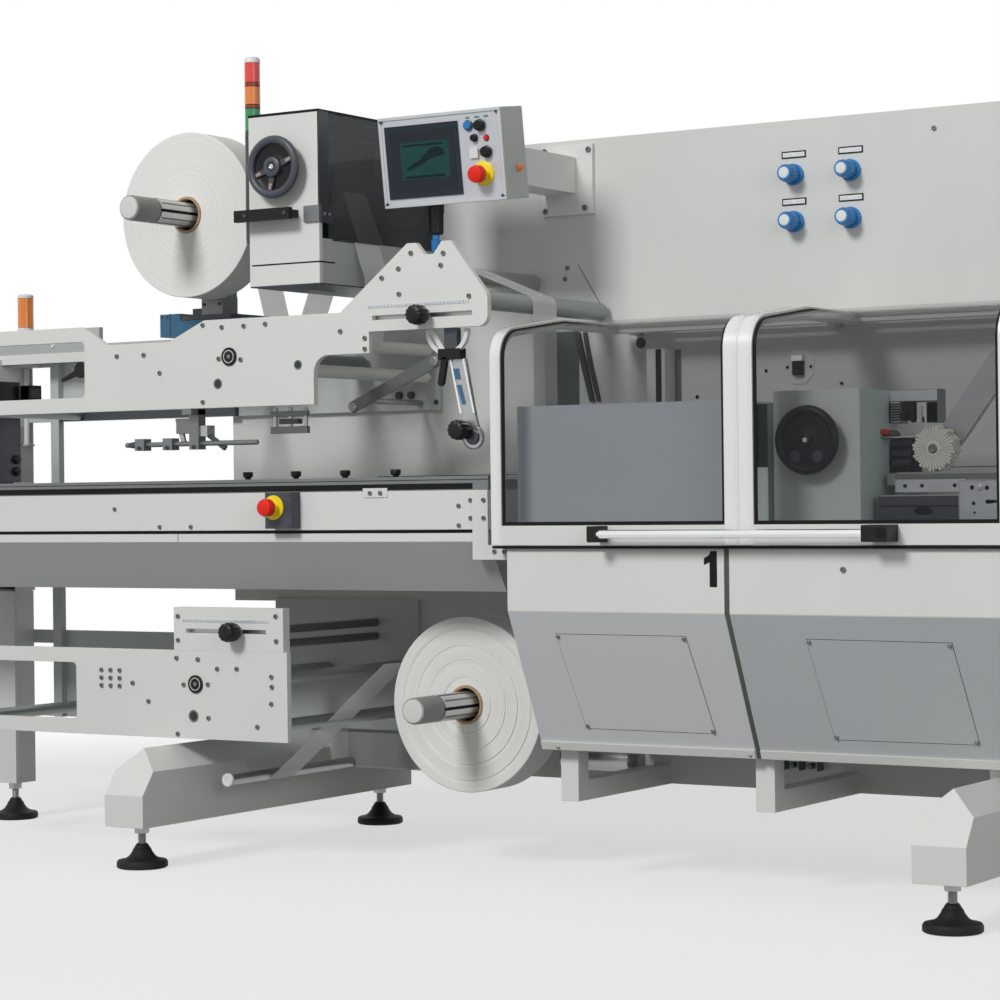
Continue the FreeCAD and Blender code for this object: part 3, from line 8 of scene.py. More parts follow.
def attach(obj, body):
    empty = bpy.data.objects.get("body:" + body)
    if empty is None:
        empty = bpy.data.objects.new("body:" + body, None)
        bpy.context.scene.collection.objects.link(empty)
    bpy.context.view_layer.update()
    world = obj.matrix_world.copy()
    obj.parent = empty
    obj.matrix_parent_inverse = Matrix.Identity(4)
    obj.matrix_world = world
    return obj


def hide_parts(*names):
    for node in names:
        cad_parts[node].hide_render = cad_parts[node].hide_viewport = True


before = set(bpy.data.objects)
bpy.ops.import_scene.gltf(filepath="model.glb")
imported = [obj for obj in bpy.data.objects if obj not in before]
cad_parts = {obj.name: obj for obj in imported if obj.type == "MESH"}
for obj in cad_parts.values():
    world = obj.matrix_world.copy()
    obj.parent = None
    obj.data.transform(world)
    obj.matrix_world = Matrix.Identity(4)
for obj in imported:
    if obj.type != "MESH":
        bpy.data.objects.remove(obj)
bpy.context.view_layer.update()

scene = bpy.context.scene
scene.view_settings.view_transform = "Standard"


def linear(*screen):
    """Colour as seen on a screen, 0 to 255, as the linear colour that a shader takes."""
    shares = [value / 255 for value in screen]
    return tuple(v / 12.92 if v <= 0.04045 else ((v + 0.055) / 1.055) ** 2.4 for v in shares) + (1.0,)


# Camera, at the photograph's place and angle
CAMERA_AT = (3.588, -5.395, 0.8437)
CAMERA_YAW, CAMERA_PITCH, CAMERA_ROLL = (math.radians(angle) for angle in (32.33, 0.04, -0.67))
LENS = 98.82


def camera_turn():
    forward = Vector((-math.sin(CAMERA_YAW) * math.cos(CAMERA_PITCH),
                      math.cos(CAMERA_YAW) * math.cos(CAMERA_PITCH), -math.sin(CAMERA_PITCH)))
    right = Vector((math.cos(CAMERA_YAW), math.sin(CAMERA_YAW), 0))
    up = right.cross(forward)
    level, rolled = math.cos(CAMERA_ROLL), math.sin(CAMERA_ROLL)
    return Matrix((level * right + rolled * up, level * up - rolled * right, -forward)).transposed()


camera = bpy.data.objects.new("camera", bpy.data.cameras.new("camera"))
scene.collection.objects.link(camera)
camera.data.lens = LENS
camera.matrix_world = Matrix.Translation(CAMERA_AT) @ camera_turn().to_4x4()
scene.camera = camera


# Node trees
def add_node(tree, kind, inputs=None, **settings):
    made = tree.nodes.new(kind)
    for name, value in settings.items():
        setattr(made, name, value)
    for name, value in (inputs or {}).items():
        if isinstance(value, bpy.types.NodeSocket):
            tree.links.new(value, made.inputs[name])
        else:
            made.inputs[name].default_value = value
    return made


def seen_directly(tree):
    """1 for rays that show a background: straight from the camera, mirrored or through glass."""
    path = add_node(tree, "ShaderNodeLightPath")
    mirrored = add_node(tree, "ShaderNodeMath", {0: path.outputs["Is Camera Ray"],
                                                 1: path.outputs["Is Glossy Ray"]}, operation="MAXIMUM")
    return add_node(tree, "ShaderNodeMath", {0: mirrored.outputs[0], 1: path.outputs["Is Transmission Ray"]},
                    operation="MAXIMUM").outputs[0]


# World, floor and lamps
SKY_LIGHT = 0.25
world = bpy.data.worlds.new("world")
scene.world = world
world.use_nodes = True
tree = world.node_tree
tree.nodes.clear()
light = add_node(tree, "ShaderNodeBackground", {"Color": (1, 1, 1, 1), "Strength": SKY_LIGHT})
white = add_node(tree, "ShaderNodeBackground", {"Color": (1, 1, 1, 1), "Strength": 1.0})
both = add_node(tree, "ShaderNodeMixShader", {0: seen_directly(tree), 1: light.outputs[0],
                                              2: white.outputs[0]})
add_node(tree, "ShaderNodeOutputWorld", {"Surface": both.outputs[0]})

MIDDLE = (0.2, 0.0, 0.9)


def area_lamp(name, at, side, power):
    lamp = bpy.data.objects.new(name, bpy.data.lights.new(name, "AREA"))
    lamp.data.size = side
    lamp.data.energy = power
    lamp.location = at
    lamp.rotation_euler = (Vector(MIDDLE) - Vector(at)).to_track_quat("-Z", "Y").to_euler()
    scene.collection.objects.link(lamp)


area_lamp("key_lamp", (-0.9, -9.3, 7.2), 2.6, 700)
area_lamp("fill_lamp", (7.0, -5.0, 3.0), 4.0, 80)


FADE_FROM, FADE_TO = 2.2, 4.6
GLOW_SHARE = 0.62


def floor_material():
    """Pale floor that keeps the machine's shadow and fades into the white background."""
    made = bpy.data.materials.new("floor")
    made.use_nodes = True
    tree = made.node_tree
    tree.nodes.clear()
    place = add_node(tree, "ShaderNodeTexCoord").outputs["Object"]
    far = add_node(tree, "ShaderNodeVectorMath", {0: place}, operation="LENGTH").outputs["Value"]
    fade = add_node(tree, "ShaderNodeMapRange", {"Value": far, "From Min": FADE_FROM, "From Max": FADE_TO,
                                                 "To Min": 0.0, "To Max": 1.0},
                    interpolation_type="SMOOTHSTEP")
    matte = add_node(tree, "ShaderNodeBsdfDiffuse", {"Color": (0.7, 0.7, 0.7, 1)})
    glow = add_node(tree, "ShaderNodeEmission", {"Strength": seen_directly(tree)})
    glow_share = add_node(tree, "ShaderNodeMixShader", {0: GLOW_SHARE, 1: matte.outputs[0],
                                                        2: glow.outputs[0]})
    clear = add_node(tree, "ShaderNodeBsdfTransparent")
    out = add_node(tree, "ShaderNodeMixShader", {0: fade.outputs[0], 1: glow_share.outputs[0],
                                                 2: clear.outputs[0]})
    add_node(tree, "ShaderNodeOutputMaterial", {"Surface": out.outputs[0]})
    return made


FLOOR_SIDE = 12
bpy.ops.mesh.primitive_plane_add(size=FLOOR_SIDE, location=(0.0, 0.0, -0.001))
floor = bpy.context.object
floor.name = "floor"
floor.data.materials.append(floor_material())


# Materials. Object coordinates are the machine's own metres.
def surface(name, colour, rough, metallic=0.0, vary=0.05, patch=4.0, grain=0.0006, bump=0.15,
            stretch=(1, 1, 1), worn=None, soften=0.0, **shader):
    """Principled material with mottled colour, uneven gloss, a fine grain and rubbed edges.

    Its colours are as seen on a screen, 0 to 255.
    """
    made = bpy.data.materials.new(name)
    made.use_nodes = True
    tree = made.node_tree
    principled = tree.nodes["Principled BSDF"]
    place = add_node(tree, "ShaderNodeTexCoord").outputs["Object"]
    stretched = add_node(tree, "ShaderNodeMapping", {"Vector": place, "Scale": stretch}).outputs[0]
    mottle = add_node(tree, "ShaderNodeTexNoise", {"Vector": stretched, "Scale": patch, "Detail": 5.0,
                                                   "Roughness": 0.6}).outputs["Fac"]
    fine = add_node(tree, "ShaderNodeTexNoise", {"Vector": stretched, "Scale": 1 / grain, "Detail": 2.0})
    dark, pale = ([channel * share for channel in linear(*colour)[:3]] + [1]
                  for share in (1 - vary, 1 + vary))
    tone = add_node(tree, "ShaderNodeMix", {"Factor": mottle}, data_type="RGBA")
    tone.inputs[6].default_value = dark
    tone.inputs[7].default_value = [min(channel, 1.0) for channel in pale]
    shown = tone.outputs[2]
    if worn:
        edge = add_node(tree, "ShaderNodeBevel", {"Radius": 0.0025}, samples=4)
        true_normal = add_node(tree, "ShaderNodeNewGeometry").outputs["Normal"]
        flat = add_node(tree, "ShaderNodeVectorMath", {0: edge.outputs[0], 1: true_normal},
                        operation="DOT_PRODUCT").outputs["Value"]
        rubbed = add_node(tree, "ShaderNodeMapRange", {"Value": flat, "From Min": 0.8, "From Max": 0.995,
                                                       "To Min": 0.75, "To Max": 0.0})
        mixed = add_node(tree, "ShaderNodeMix", {"Factor": rubbed.outputs[0]}, data_type="RGBA")
        tree.links.new(shown, mixed.inputs[6])
        mixed.inputs[7].default_value = linear(*worn)
        shown = mixed.outputs[2]
    gloss = add_node(tree, "ShaderNodeMapRange", {"Value": mottle, "To Min": rough * 0.82,
                                                  "To Max": rough * 1.18})
    relief = add_node(tree, "ShaderNodeBump", {"Height": fine.outputs["Fac"], "Strength": bump,
                                               "Distance": grain / 4})
    if soften:
        rounded = add_node(tree, "ShaderNodeBevel", {"Radius": soften}, samples=4)
        tree.links.new(rounded.outputs[0], relief.inputs["Normal"])
    tree.links.new(shown, principled.inputs["Base Color"])
    tree.links.new(gloss.outputs[0], principled.inputs["Roughness"])
    tree.links.new(relief.outputs[0], principled.inputs["Normal"])
    principled.inputs["Metallic"].default_value = metallic
    for socket, value in shader.items():
        principled.inputs[socket.replace("_", " ")].default_value = value
    return made


RUBBED = (238, 238, 235)
white_paint = surface("white_paint", (226, 227, 223), 0.42, vary=0.025, worn=RUBBED, soften=0.0015)
wall_paint = surface("wall_paint", (216, 217, 213), 0.45, vary=0.03, worn=RUBBED, soften=0.002)
grey_paint = surface("grey_paint", (176, 179, 179), 0.45, vary=0.04, worn=RUBBED, soften=0.0015)
cover_paint = surface("cover_paint", (222, 229, 236), 0.5, vary=0.03, soften=0.0015)
box_paint = surface("box_paint", (222, 230, 228), 0.4, vary=0.03, soften=0.0015)
side_paint = surface("side_paint", (186, 193, 192), 0.45, vary=0.04, soften=0.0015)
rear_paint = surface("rear_paint", (192, 198, 196), 0.45, vary=0.05, worn=RUBBED, soften=0.0015)
# The two slope materials are copies of one paint, darker than the casings' white: painted shade on the
# sloping fronts, the second darker still as painted shade on the right casing
slope_paint = surface("slope_paint", (212, 215, 216), 0.4, vary=0.03)
slope_painted_shade = surface("slope_painted_shade", (190, 194, 196), 0.4, vary=0.03)
screw_grey = surface("screw_grey", (110, 114, 115), 0.4, metallic=0.4, vary=0.12)
dark_paint = surface("dark_paint", (62, 66, 70), 0.4, vary=0.1, soften=0.001)
steel = surface("steel", (168, 170, 171), 0.32, metallic=0.85, vary=0.12, stretch=(0.3, 12, 12),
                grain=0.0009, bump=0.2, soften=0.0008)
dull_steel = surface("dull_steel", (118, 121, 122), 0.42, metallic=0.6, vary=0.15, stretch=(1, 6, 6),
                     soften=0.0008)
dark_steel = surface("dark_steel", (66, 72, 76), 0.35, metallic=0.5, vary=0.12)
zinc = surface("zinc", (196, 200, 202), 0.35, metallic=0.5, vary=0.1, patch=30.0)
roller_metal = surface("roller_metal", (152, 160, 157), 0.36, metallic=0.45, vary=0.06,
                       stretch=(1, 0.2, 1), grain=0.0012)
aluminium = surface("aluminium", (205, 206, 204), 0.3, metallic=0.7, vary=0.06, stretch=(1, 20, 1))
sleeve_grey = surface("sleeve_grey", (150, 148, 145), 0.6, vary=0.12, patch=90.0, bump=0.4)
cap_white = surface("cap_white", (222, 220, 216), 0.35, vary=0.04)
chrome = surface("chrome", (228, 230, 232), 0.12, metallic=1.0, vary=0.03, bump=0.04)
black_rubber = surface("black_rubber", (22, 22, 23), 0.62, vary=0.25, patch=25.0, bump=0.5,
                       Specular_IOR_Level=0.25)
black_plastic = surface("black_plastic", (13, 14, 16), 0.35, vary=0.2, patch=40.0, Specular_IOR_Level=0.25)
grey_plastic = surface("grey_plastic", (66, 70, 78), 0.38, vary=0.1, patch=30.0, Specular_IOR_Level=0.4)
bezel_slate = surface("bezel_slate", (36, 46, 56), 0.35, vary=0.08, patch=14.0, bump=0.1,
                      Specular_IOR_Level=0.2)
screen_teal = surface("screen_teal", (34, 74, 73), 0.15, vary=0.35, patch=40.0, bump=0.02,
                      stretch=(1, 1, 3), Specular_IOR_Level=0.1)
screen_dark = surface("screen_dark", (22, 40, 50), 0.15, vary=0.2, patch=22.0, bump=0.02,
                      Specular_IOR_Level=0.1)
cardboard = surface("cardboard", (178, 148, 116), 0.8, vary=0.18, patch=60.0, stretch=(1, 0.3, 1), bump=0.6)
blue_plastic = surface("blue_plastic", (22, 122, 190), 0.25, vary=0.08, patch=40.0)
motor_blue = surface("motor_blue", (48, 100, 132), 0.4, vary=0.1, patch=20.0, worn=(90, 130, 160))
red_plastic = surface("red_plastic", (240, 38, 24), 0.35, vary=0.06, patch=40.0, Specular_IOR_Level=0.3)
yellow_plastic = surface("yellow_plastic", (252, 228, 30), 0.4, vary=0.06, patch=40.0)
label_white = surface("label_white", (232, 233, 231), 0.5, vary=0.04, patch=60.0)
bristle = surface("bristle", (244, 242, 232), 0.7, vary=0.14, patch=160.0, bump=0.5)
plain_black = surface("plain_black", (14, 15, 16), 0.55, vary=0.3, patch=60.0, Specular_IOR_Level=0.15)
hole_shade = surface("hole_shade", (58, 64, 62), 0.7, vary=0.3, patch=60.0, Specular_IOR_Level=0.2)
shade_green = surface("shade_green", (84, 94, 86), 0.6, vary=0.1, patch=20.0, Specular_IOR_Level=0.2)
end_shade = surface("end_shade", (44, 50, 46), 0.6, vary=0.1, patch=20.0, Specular_IOR_Level=0.2)
# Painted light: a paler copy of the jaw housing's paint for the housing's right side, brighter than the lamps
# leave that side
jaw_side_painted_light = surface("jaw_side_painted_light", (222, 240, 236), 0.5, vary=0.05, patch=12.0)
screen_frame = surface("screen_frame", (34, 40, 47), 0.3, vary=0.1, patch=20.0, Specular_IOR_Level=0.2)
rib_metal = surface("rib_metal", (158, 140, 134), 0.3, metallic=0.8, vary=0.1, patch=60.0)
lamp_red = surface("lamp_red", (238, 54, 56), 0.18, vary=0.12, patch=120.0, stretch=(1, 1, 0.1),
                   Coat_Weight=0.5)
lamp_orange = surface("lamp_orange", (244, 134, 44), 0.18, vary=0.16, patch=120.0, stretch=(1, 1, 0.1),
                      Coat_Weight=0.5)
lamp_brown = surface("lamp_brown", (132, 52, 34), 0.25, vary=0.2, patch=120.0)
lamp_green = surface("lamp_green", (24, 142, 84), 0.18, vary=0.12, patch=120.0, stretch=(1, 1, 0.1),
                     Coat_Weight=0.5)
smoked_glass = surface("smoked_glass", (46, 50, 54), 0.06, vary=0.06, patch=2.0, bump=0.0, Alpha=0.24,
                       IOR=1.45, Specular_IOR_Level=0.25)
dark_glass = surface("dark_glass", (70, 76, 80), 0.07, vary=0.1, patch=3.0, bump=0.0, Alpha=0.5)
film = surface("film", (236, 238, 238), 0.22, vary=0.05, patch=9.0, stretch=(4, 1, 4), grain=0.004,
               bump=0.12, Alpha=0.5)


def wound_film(name, across, high):
    """Side of a film roll: rings of wound film about its own middle, with slightly fuzzy edges."""
    made = surface(name, (240, 240, 236), 0.55, vary=0.02, patch=6.0, grain=0.0012, bump=0.25)
    tree = made.node_tree
    place = add_node(tree, "ShaderNodeTexCoord").outputs["Object"]
    about = add_node(tree, "ShaderNodeVectorMath", {0: place, 1: (across, 0, high)}, operation="SUBTRACT")
    flat = add_node(tree, "ShaderNodeVectorMath", {0: about.outputs[0], 1: (1, 0, 1)}, operation="MULTIPLY")
    out = add_node(tree, "ShaderNodeVectorMath", {0: flat.outputs[0]}, operation="LENGTH").outputs["Value"]
    rings = add_node(tree, "ShaderNodeTexNoise", {"W": out, "Scale": 150.0, "Detail": 6.0, "Roughness": 0.75},
                     noise_dimensions="1D").outputs["Fac"]
    tone = add_node(tree, "ShaderNodeMapRange", {"Value": rings, "From Min": 0.3, "From Max": 0.7,
                                                 "To Min": 0.0, "To Max": 1.0})
    mixed = add_node(tree, "ShaderNodeMix", {"Factor": tone.outputs[0]}, data_type="RGBA")
    mixed.inputs[6].default_value = linear(232, 231, 226)
    mixed.inputs[7].default_value = linear(242, 242, 238)
    principled = tree.nodes["Principled BSDF"]
    tree.links.new(mixed.outputs[2], principled.inputs["Base Color"])
    return made


# Shapes
SMOOTH_UNDER = math.radians(35)
BEVEL_OVER = math.radians(30)
UNIT = {"x": Vector((1, 0, 0)), "y": Vector((0, 1, 0)), "z": Vector((0, 0, 1))}
AROUND = {"x": ("y", "z"), "y": ("z", "x"), "z": ("x", "y")}


class Shape:
    """Mesh of one piece, built up in the machine's frame. kind picks one of its materials."""

    def __init__(self, turn=None):
        self.turn = turn or Matrix.Identity(4)
        self.corners = []
        self.faces = []
        self.kinds = []

    def add(self, corners, faces, kind):
        start = len(self.corners)
        self.corners += [self.turn @ Vector(corner) for corner in corners]
        self.faces += [[start + number for number in face] for face in faces]
        self.kinds += [kind] * len(faces)

    def include(self, other):
        """Takes in another shape, which has its own turn, with its kinds."""
        self.add(other.corners, other.faces, 0)
        self.kinds[-len(other.kinds):] = other.kinds

    def slab(self, outline, axis, low, high, kind=0):
        """Outline drawn across an axis and drawn out along it. Its points read in x, y, z order."""
        first, second = [letter for letter in "xyz" if letter != axis]
        count = len(outline)
        corners = [UNIT[first] * a + UNIT[second] * b + UNIT[axis] * level
                   for level in (low, high) for a, b in outline]
        sides = [[n, (n + 1) % count, count + (n + 1) % count, count + n] for n in range(count)]
        self.add(corners, sides + [list(range(count)), list(range(count, 2 * count))], kind)

    def box(self, low, high, kind=0):
        (x, y, z), (to_x, to_y, to_z) = low, high
        self.slab([(x, z), (to_x, z), (to_x, to_z), (x, to_z)], "y", y, to_y, kind)

    def turned(self, at, axis, outline, sides=28, kind=0, closed=False, lobes=0, depth=0.0):
        """Outline of (along, radius) places turned about an axis. Lobes flute it."""
        one, two = (UNIT[letter] for letter in AROUND[axis])
        corners, faces = [], []
        for along, radius in outline:
            for n in range(sides):
                angle = 2 * math.pi * n / sides
                reach = radius * (1 + depth * math.cos(lobes * angle))
                corners.append(Vector(at) + UNIT[axis] * along
                               + one * reach * math.cos(angle) + two * reach * math.sin(angle))
        rows = len(outline) if closed else len(outline) - 1
        for row in range(rows):
            here, there = row * sides, (row + 1) % len(outline) * sides
            faces += [[here + n, here + (n + 1) % sides, there + (n + 1) % sides, there + n]
                      for n in range(sides)]
        if not closed:
            faces += [list(range(sides)), list(range((len(outline) - 1) * sides, len(outline) * sides))]
        self.add(corners, faces, kind)

    def boxes(self, *rows):
        """Boxes by two opposite corners each, and by their kind where it isn't 0."""
        for row in rows:
            self.box(*row)

    def screw(self, at, radius, height, kind=0, sides=14):
        """Socket head that faces the machine's front."""
        self.turned(at, "y", [(0, radius), (-height * 0.8, radius), (-height, radius * 0.85),
                              (-height, radius * 0.5), (-height * 0.4, radius * 0.45)], sides, kind)

    def band(self, path, low, high, thickness, kind=0):
        """Strip that follows a (y, z) path, from one x to another, thickened to its left side."""
        inner = beside(path, thickness)
        self.slab(list(path) + inner[::-1], "x", low, high, kind)

    def finish(self, name, slot, *materials, body="frame", bevel=0.0, replaces=()):
        """Makes the piece, with a body that it rides on and the CAD nodes that it stands for. Its slot is not
        used.
        """
        mesh = bpy.data.meshes.new(name)
        mesh.from_pydata(self.corners, [], self.faces)
        mesh.polygons.foreach_set("material_index", self.kinds)
        work = bmesh.new()
        work.from_mesh(mesh)
        bmesh.ops.recalc_face_normals(work, faces=work.faces)
        work.to_mesh(mesh)
        work.free()
        for made in materials:
            mesh.materials.append(made)
        mesh.polygons.foreach_set("use_smooth", [True] * len(mesh.polygons))
        mesh.set_sharp_from_angle(angle=SMOOTH_UNDER)
        obj = bpy.data.objects.new(name, mesh)
        scene.collection.objects.link(obj)
        if bevel:
            edge = obj.modifiers.new("edge", "BEVEL")
            edge.width, edge.segments = bevel, 2
            edge.limit_method, edge.angle_limit = "ANGLE", BEVEL_OVER
            edge.harden_normals = True
        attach(obj, body)
        if replaces:
            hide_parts(*replaces)


def beside(path, offset):
    """Points of a flat path moved to its left side."""
    moved = []
    for number, point in enumerate(path):
        before = Vector(path[max(number - 1, 0)])
        after = Vector(path[min(number + 1, len(path) - 1)])
        along = (after - before).normalized()
        moved.append((point[0] - along.y * offset, point[1] + along.x * offset))
    return moved


def rounded(points, radius, steps=8):
    """Open flat path with each inner corner rounded."""
    path = [Vector(points[0])]
    for before, corner, after in zip(points, points[1:], points[2:]):
        before, corner, after = Vector(before), Vector(corner), Vector(after)
        inward, outward = (before - corner).normalized(), (after - corner).normalized()
        half = inward.angle(outward) / 2
        reach = radius / math.tan(half)
        middle = corner + (inward + outward).normalized() * radius / math.sin(half)
        start, end = corner + inward * reach - middle, corner + outward * reach - middle
        turn = start.angle_signed(end)
        for step in range(steps + 1):
            angle = -turn * step / steps
            path.append(middle + Vector((start.x * math.cos(angle) - start.y * math.sin(angle),
                                         start.x * math.sin(angle) + start.y * math.cos(angle))))
    path.append(Vector(points[-1]))
    return [tuple(point) for point in path]


def arc(x, z, radius, first, last, steps=10):
    """Places round a turned part in (x, z), by angles from the x direction."""
    turns = [math.radians(first + (last - first) * n / steps) for n in range(steps + 1)]
    return [(x + radius * math.cos(turn), z + radius * math.sin(turn)) for turn in turns]


def oval(x, z, wide, high, count, first=0):
    """Corners of an oval, or of a regular figure when there are few."""
    turns = [math.radians(360 / count * n + first) for n in range(count)]
    return [(x + wide * math.cos(turn), z + high * math.sin(turn)) for turn in turns]


def dress(material, *names):
    """Gives carried-over CAD nodes their finish."""
    for name in names:
        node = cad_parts[name]
        if not node.material_slots:
            node.data.materials.append(material)
        for holder in node.material_slots:
            holder.material = material


def round_bar(length, radius, edge=0.002):
    """Outline of a plain turned bar with broken edges."""
    return [(0, radius - edge), (edge, radius), (length - edge, radius), (length, radius - edge)]


def screws(name, spots, radius=0.0055):
    """Socket heads of one size as a piece of their own."""
    shape = Shape()
    for spot in spots:
        shape.screw(spot, radius, 0.004)
    shape.finish(name, "steel", screw_grey)


# Housing, beams, plates and casings keep their CAD solids
dress(wall_paint, "backboard", "base_cabinet")
dress(white_paint, "foot_beam_left", "foot_beam_right", "conveyor_beam", "upper_front_plate",
      "lower_front_plate", "slotted_plate", "register_front", "guard_frame", "front_casing_left",
      "front_casing_right", "casing_props", "hmi_arm", "infeed_stand")
dress(grey_paint, "conveyor_skirt", "conveyor_arms")
dress(rear_paint, "upper_rear_plate", "lower_rear_plate")
dress(side_paint, "register_body", "rear_post")
dress(cover_paint, "forming_cover")
dress(box_paint, "jaw_housing")
dress(steel, "conveyor_bed", "guard_hinge", "outfeed_conveyor")
dress(dull_steel, "conveyor_rails", "jaw_carriage", "lower_reel_hub")
dress(smoked_glass, "guard_glass")

# Levelling feet: domed rubber pad, threaded stem and lock nut
FOOT_SPOTS = [(-0.512, -0.481), (-0.512, 0.481), (1.496, -0.481), (1.496, 0.481), (-1.460, 0.132)]
FOOT_TOP, THREAD_PITCH = 0.098, 0.003

feet = Shape()
for x, y in FOOT_SPOTS:
    feet.turned((x, y, 0), "z", [(0, 0.055), (0.003, 0.0592), (0.013, 0.0592), (0.018, 0.056), (0.021, 0.040),
                                 (0.027, 0.031), (0.036, 0.024), (0.045, 0.020), (0.048, 0.016)], 40)
    turns = int((FOOT_TOP - 0.048) / THREAD_PITCH)
    thread = [(0.048 + THREAD_PITCH * n / 2, 0.0098 if n % 2 else 0.0085) for n in range(2 * turns + 2)]
    feet.turned((x, y, 0), "z", thread, 16, kind=1)
    feet.turned((x, y, 0.046), "z", [(0, 0.018), (0.004, 0.0165), (0.010, 0.012)], 40)
    feet.slab(oval(x, y, 0.018, 0.018, 6), "z", 0.080, FOOT_TOP, kind=1)
feet.finish("foot_pads_and_stems", "black_rubber", black_rubber, steel, replaces=["levelling_feet"])

# Film plates: screws, bores, bearings and slot scales on their front faces
PLATE_FACE, PLATE_BACK, WALL = -0.365, -0.350, 0.185
UPPER_SCREWS = [(-0.668, 1.191), (-0.586, 1.191), (-0.538, 1.147), (-0.408, 1.254), (-0.352, 1.247),
                (-0.288, 1.247), (-0.226, 1.249), (-0.410, 1.075), (-0.362, 1.174), (-0.298, 1.170),
                (-0.015, 1.223), (0.052, 1.205), (0.052, 1.181), (0.100, 1.337), (0.145, 1.355),
                (0.179, 1.388), (0.265, 1.383), (0.258, 1.357), (0.146, 1.299), (0.331, 1.286)]
LOWER_SCREWS = [(-0.497, 0.478), (-0.434, 0.476), (-0.377, 0.455), (-0.320, 0.456), (-0.220, 0.440),
                (-0.219, 0.417), (-0.221, 0.378), (-0.262, 0.324), (-0.496, 0.300), (-0.404, 0.340),
                (-0.631, 0.416), (-0.583, 0.374), (-0.477, 0.416), (-0.405, 0.418), (-0.492, 0.576),
                (-0.206, 0.579), (-0.492, 0.520), (-0.205, 0.522)]
GROUP_LEFT, GROUP_LOW, GROUP_STEP = -0.727, 0.408, (0.028, 0.0185)
group_screws = [(GROUP_LEFT + GROUP_STEP[0] * column, GROUP_LOW + GROUP_STEP[1] * row)
                for column in range(3) for row in range(3)]
screws("plate_screws", [(x, PLATE_FACE, z) for x, z in UPPER_SCREWS + LOWER_SCREWS + group_screws])

CORNER = 0.012
fillets = Shape()
for x, z, up in ((-0.770, 1.230, 1), (-0.770, 1.096, -1), (-0.807, 0.461, 1), (-0.807, 0.325, -1)):
    turns = [math.radians(15 * n) for n in range(7)]
    bend = [(x - CORNER + CORNER * math.cos(turn), z - up * (CORNER - CORNER * math.sin(turn)))
            for turn in turns]
    fillets.slab(bend + [(x, z)], "y", PLATE_FACE, PLATE_BACK)
fillets.finish("window_corners", "light_grey_paint", white_paint)

BORES = [(-0.366, 1.116, 0.011), (-0.135, 1.152, 0.010), (-0.449, 0.343, 0.013)]
bores = Shape()
for x, z, radius in BORES:
    bores.turned((x, PLATE_FACE, z), "y", [(0, radius * 1.15), (-0.001, radius * 1.1), (-0.001, radius * 0.9),
                                           (-0.0003, radius * 0.85)], 24)
    bores.turned((x, PLATE_FACE, z), "y", [(-0.0003, radius * 0.86), (-0.0005, radius * 0.3)], 24, kind=1)
bores.finish("plate_bores", "steel", dull_steel, hole_shade)


def bearing(shape, x, z):
    """Black flange with a pale ring round a dark shaft end, in front of a film plate."""
    shape.turned((x, PLATE_FACE, z), "y", [(0, 0.021), (-0.004, 0.021), (-0.005, 0.020), (-0.005, 0.0162),
                                           (-0.002, 0.0160)], 36)
    shape.turned((x, PLATE_FACE, z), "y", [(-0.002, 0.0160), (-0.0046, 0.0152), (-0.0046, 0.0132),
                                           (-0.002, 0.0130)], 36, kind=1)
    shape.turned((x, PLATE_FACE, z), "y", [(0, 0.0128), (-0.0040, 0.0122), (-0.0044, 0.0100),
                                           (-0.0044, 0.0045)], 36)
    shape.turned((x, PLATE_FACE, z), "y", [(-0.0044, 0.0050), (-0.0052, 0.0044), (-0.0052, 0.0020)], 20,
                 kind=2)


SHAFT_END = 0.015


def rollers(name, bars, length, *replaced, bearings=(), idlers=()):
    """Turned rollers with a fillet and a thinner journal at both ends."""
    shape = Shape()
    for x, z, radius in bars:
        kind = 4 if (x, z) in idlers else 3
        journal = min(radius * 0.5, 0.009)
        shape.turned((x, PLATE_BACK, z), "y", [
            (0, journal), (SHAFT_END, journal), (SHAFT_END, radius - 0.003), (SHAFT_END + 0.002, radius),
            (length - SHAFT_END - 0.002, radius), (length - SHAFT_END, radius - 0.003),
            (length - SHAFT_END, journal), (length, journal)], 36, kind=kind)
    for x, z in bearings:
        bearing(shape, x, z)
    shape.finish(name, "steel", black_plastic, zinc, dull_steel, roller_metal, cap_white,
                 replaces=replaced)


BETWEEN_PLATES, TO_WALL = 0.520, 0.535
TIE_X = -1.240
rollers("upper_film_rollers", [(-0.331, 1.178, 0.024), (-0.135, 1.140, 0.015), (-0.620, 1.150, 0.015),
                               (-0.128, 1.205, 0.015), (TIE_X, 1.0785, 0.015)], BETWEEN_PLATES,
        "upper_rollers", bearings=[(-0.331, 1.178)], idlers=[(-0.128, 1.205), (-0.135, 1.140)])
rollers("lower_film_rollers", [(-0.441, 0.418, 0.024), (-0.225, 0.325, 0.015), (-0.225, 0.434, 0.015),
                               (-0.640, 0.390, 0.015), (TIE_X, 0.3075, 0.015)], BETWEEN_PLATES,
        "lower_rollers", bearings=[(-0.441, 0.418)])
rollers("film_guide_rollers", [(0.168, 1.352, 0.021), (0.350, 1.277, 0.021)], TO_WALL, "guide_rollers")

# Adjusting knobs in their slots, with the steel rail and the scale beside each slot
KNOB_BACK, KNOB_LENGTH = -0.371, 0.042


def fluted_knob(shape, at, length, kind=0):
    """Knob with twelve flutes, from its face backwards."""
    shape.turned(at, "y", [(0, 0.010), (0.001, 0.016), (0.003, 0.0195), (0.008, 0.0215), (0.030, 0.0215),
                           (0.036, 0.0205), (length, 0.0175)], 72, kind, lobes=12, depth=0.045)


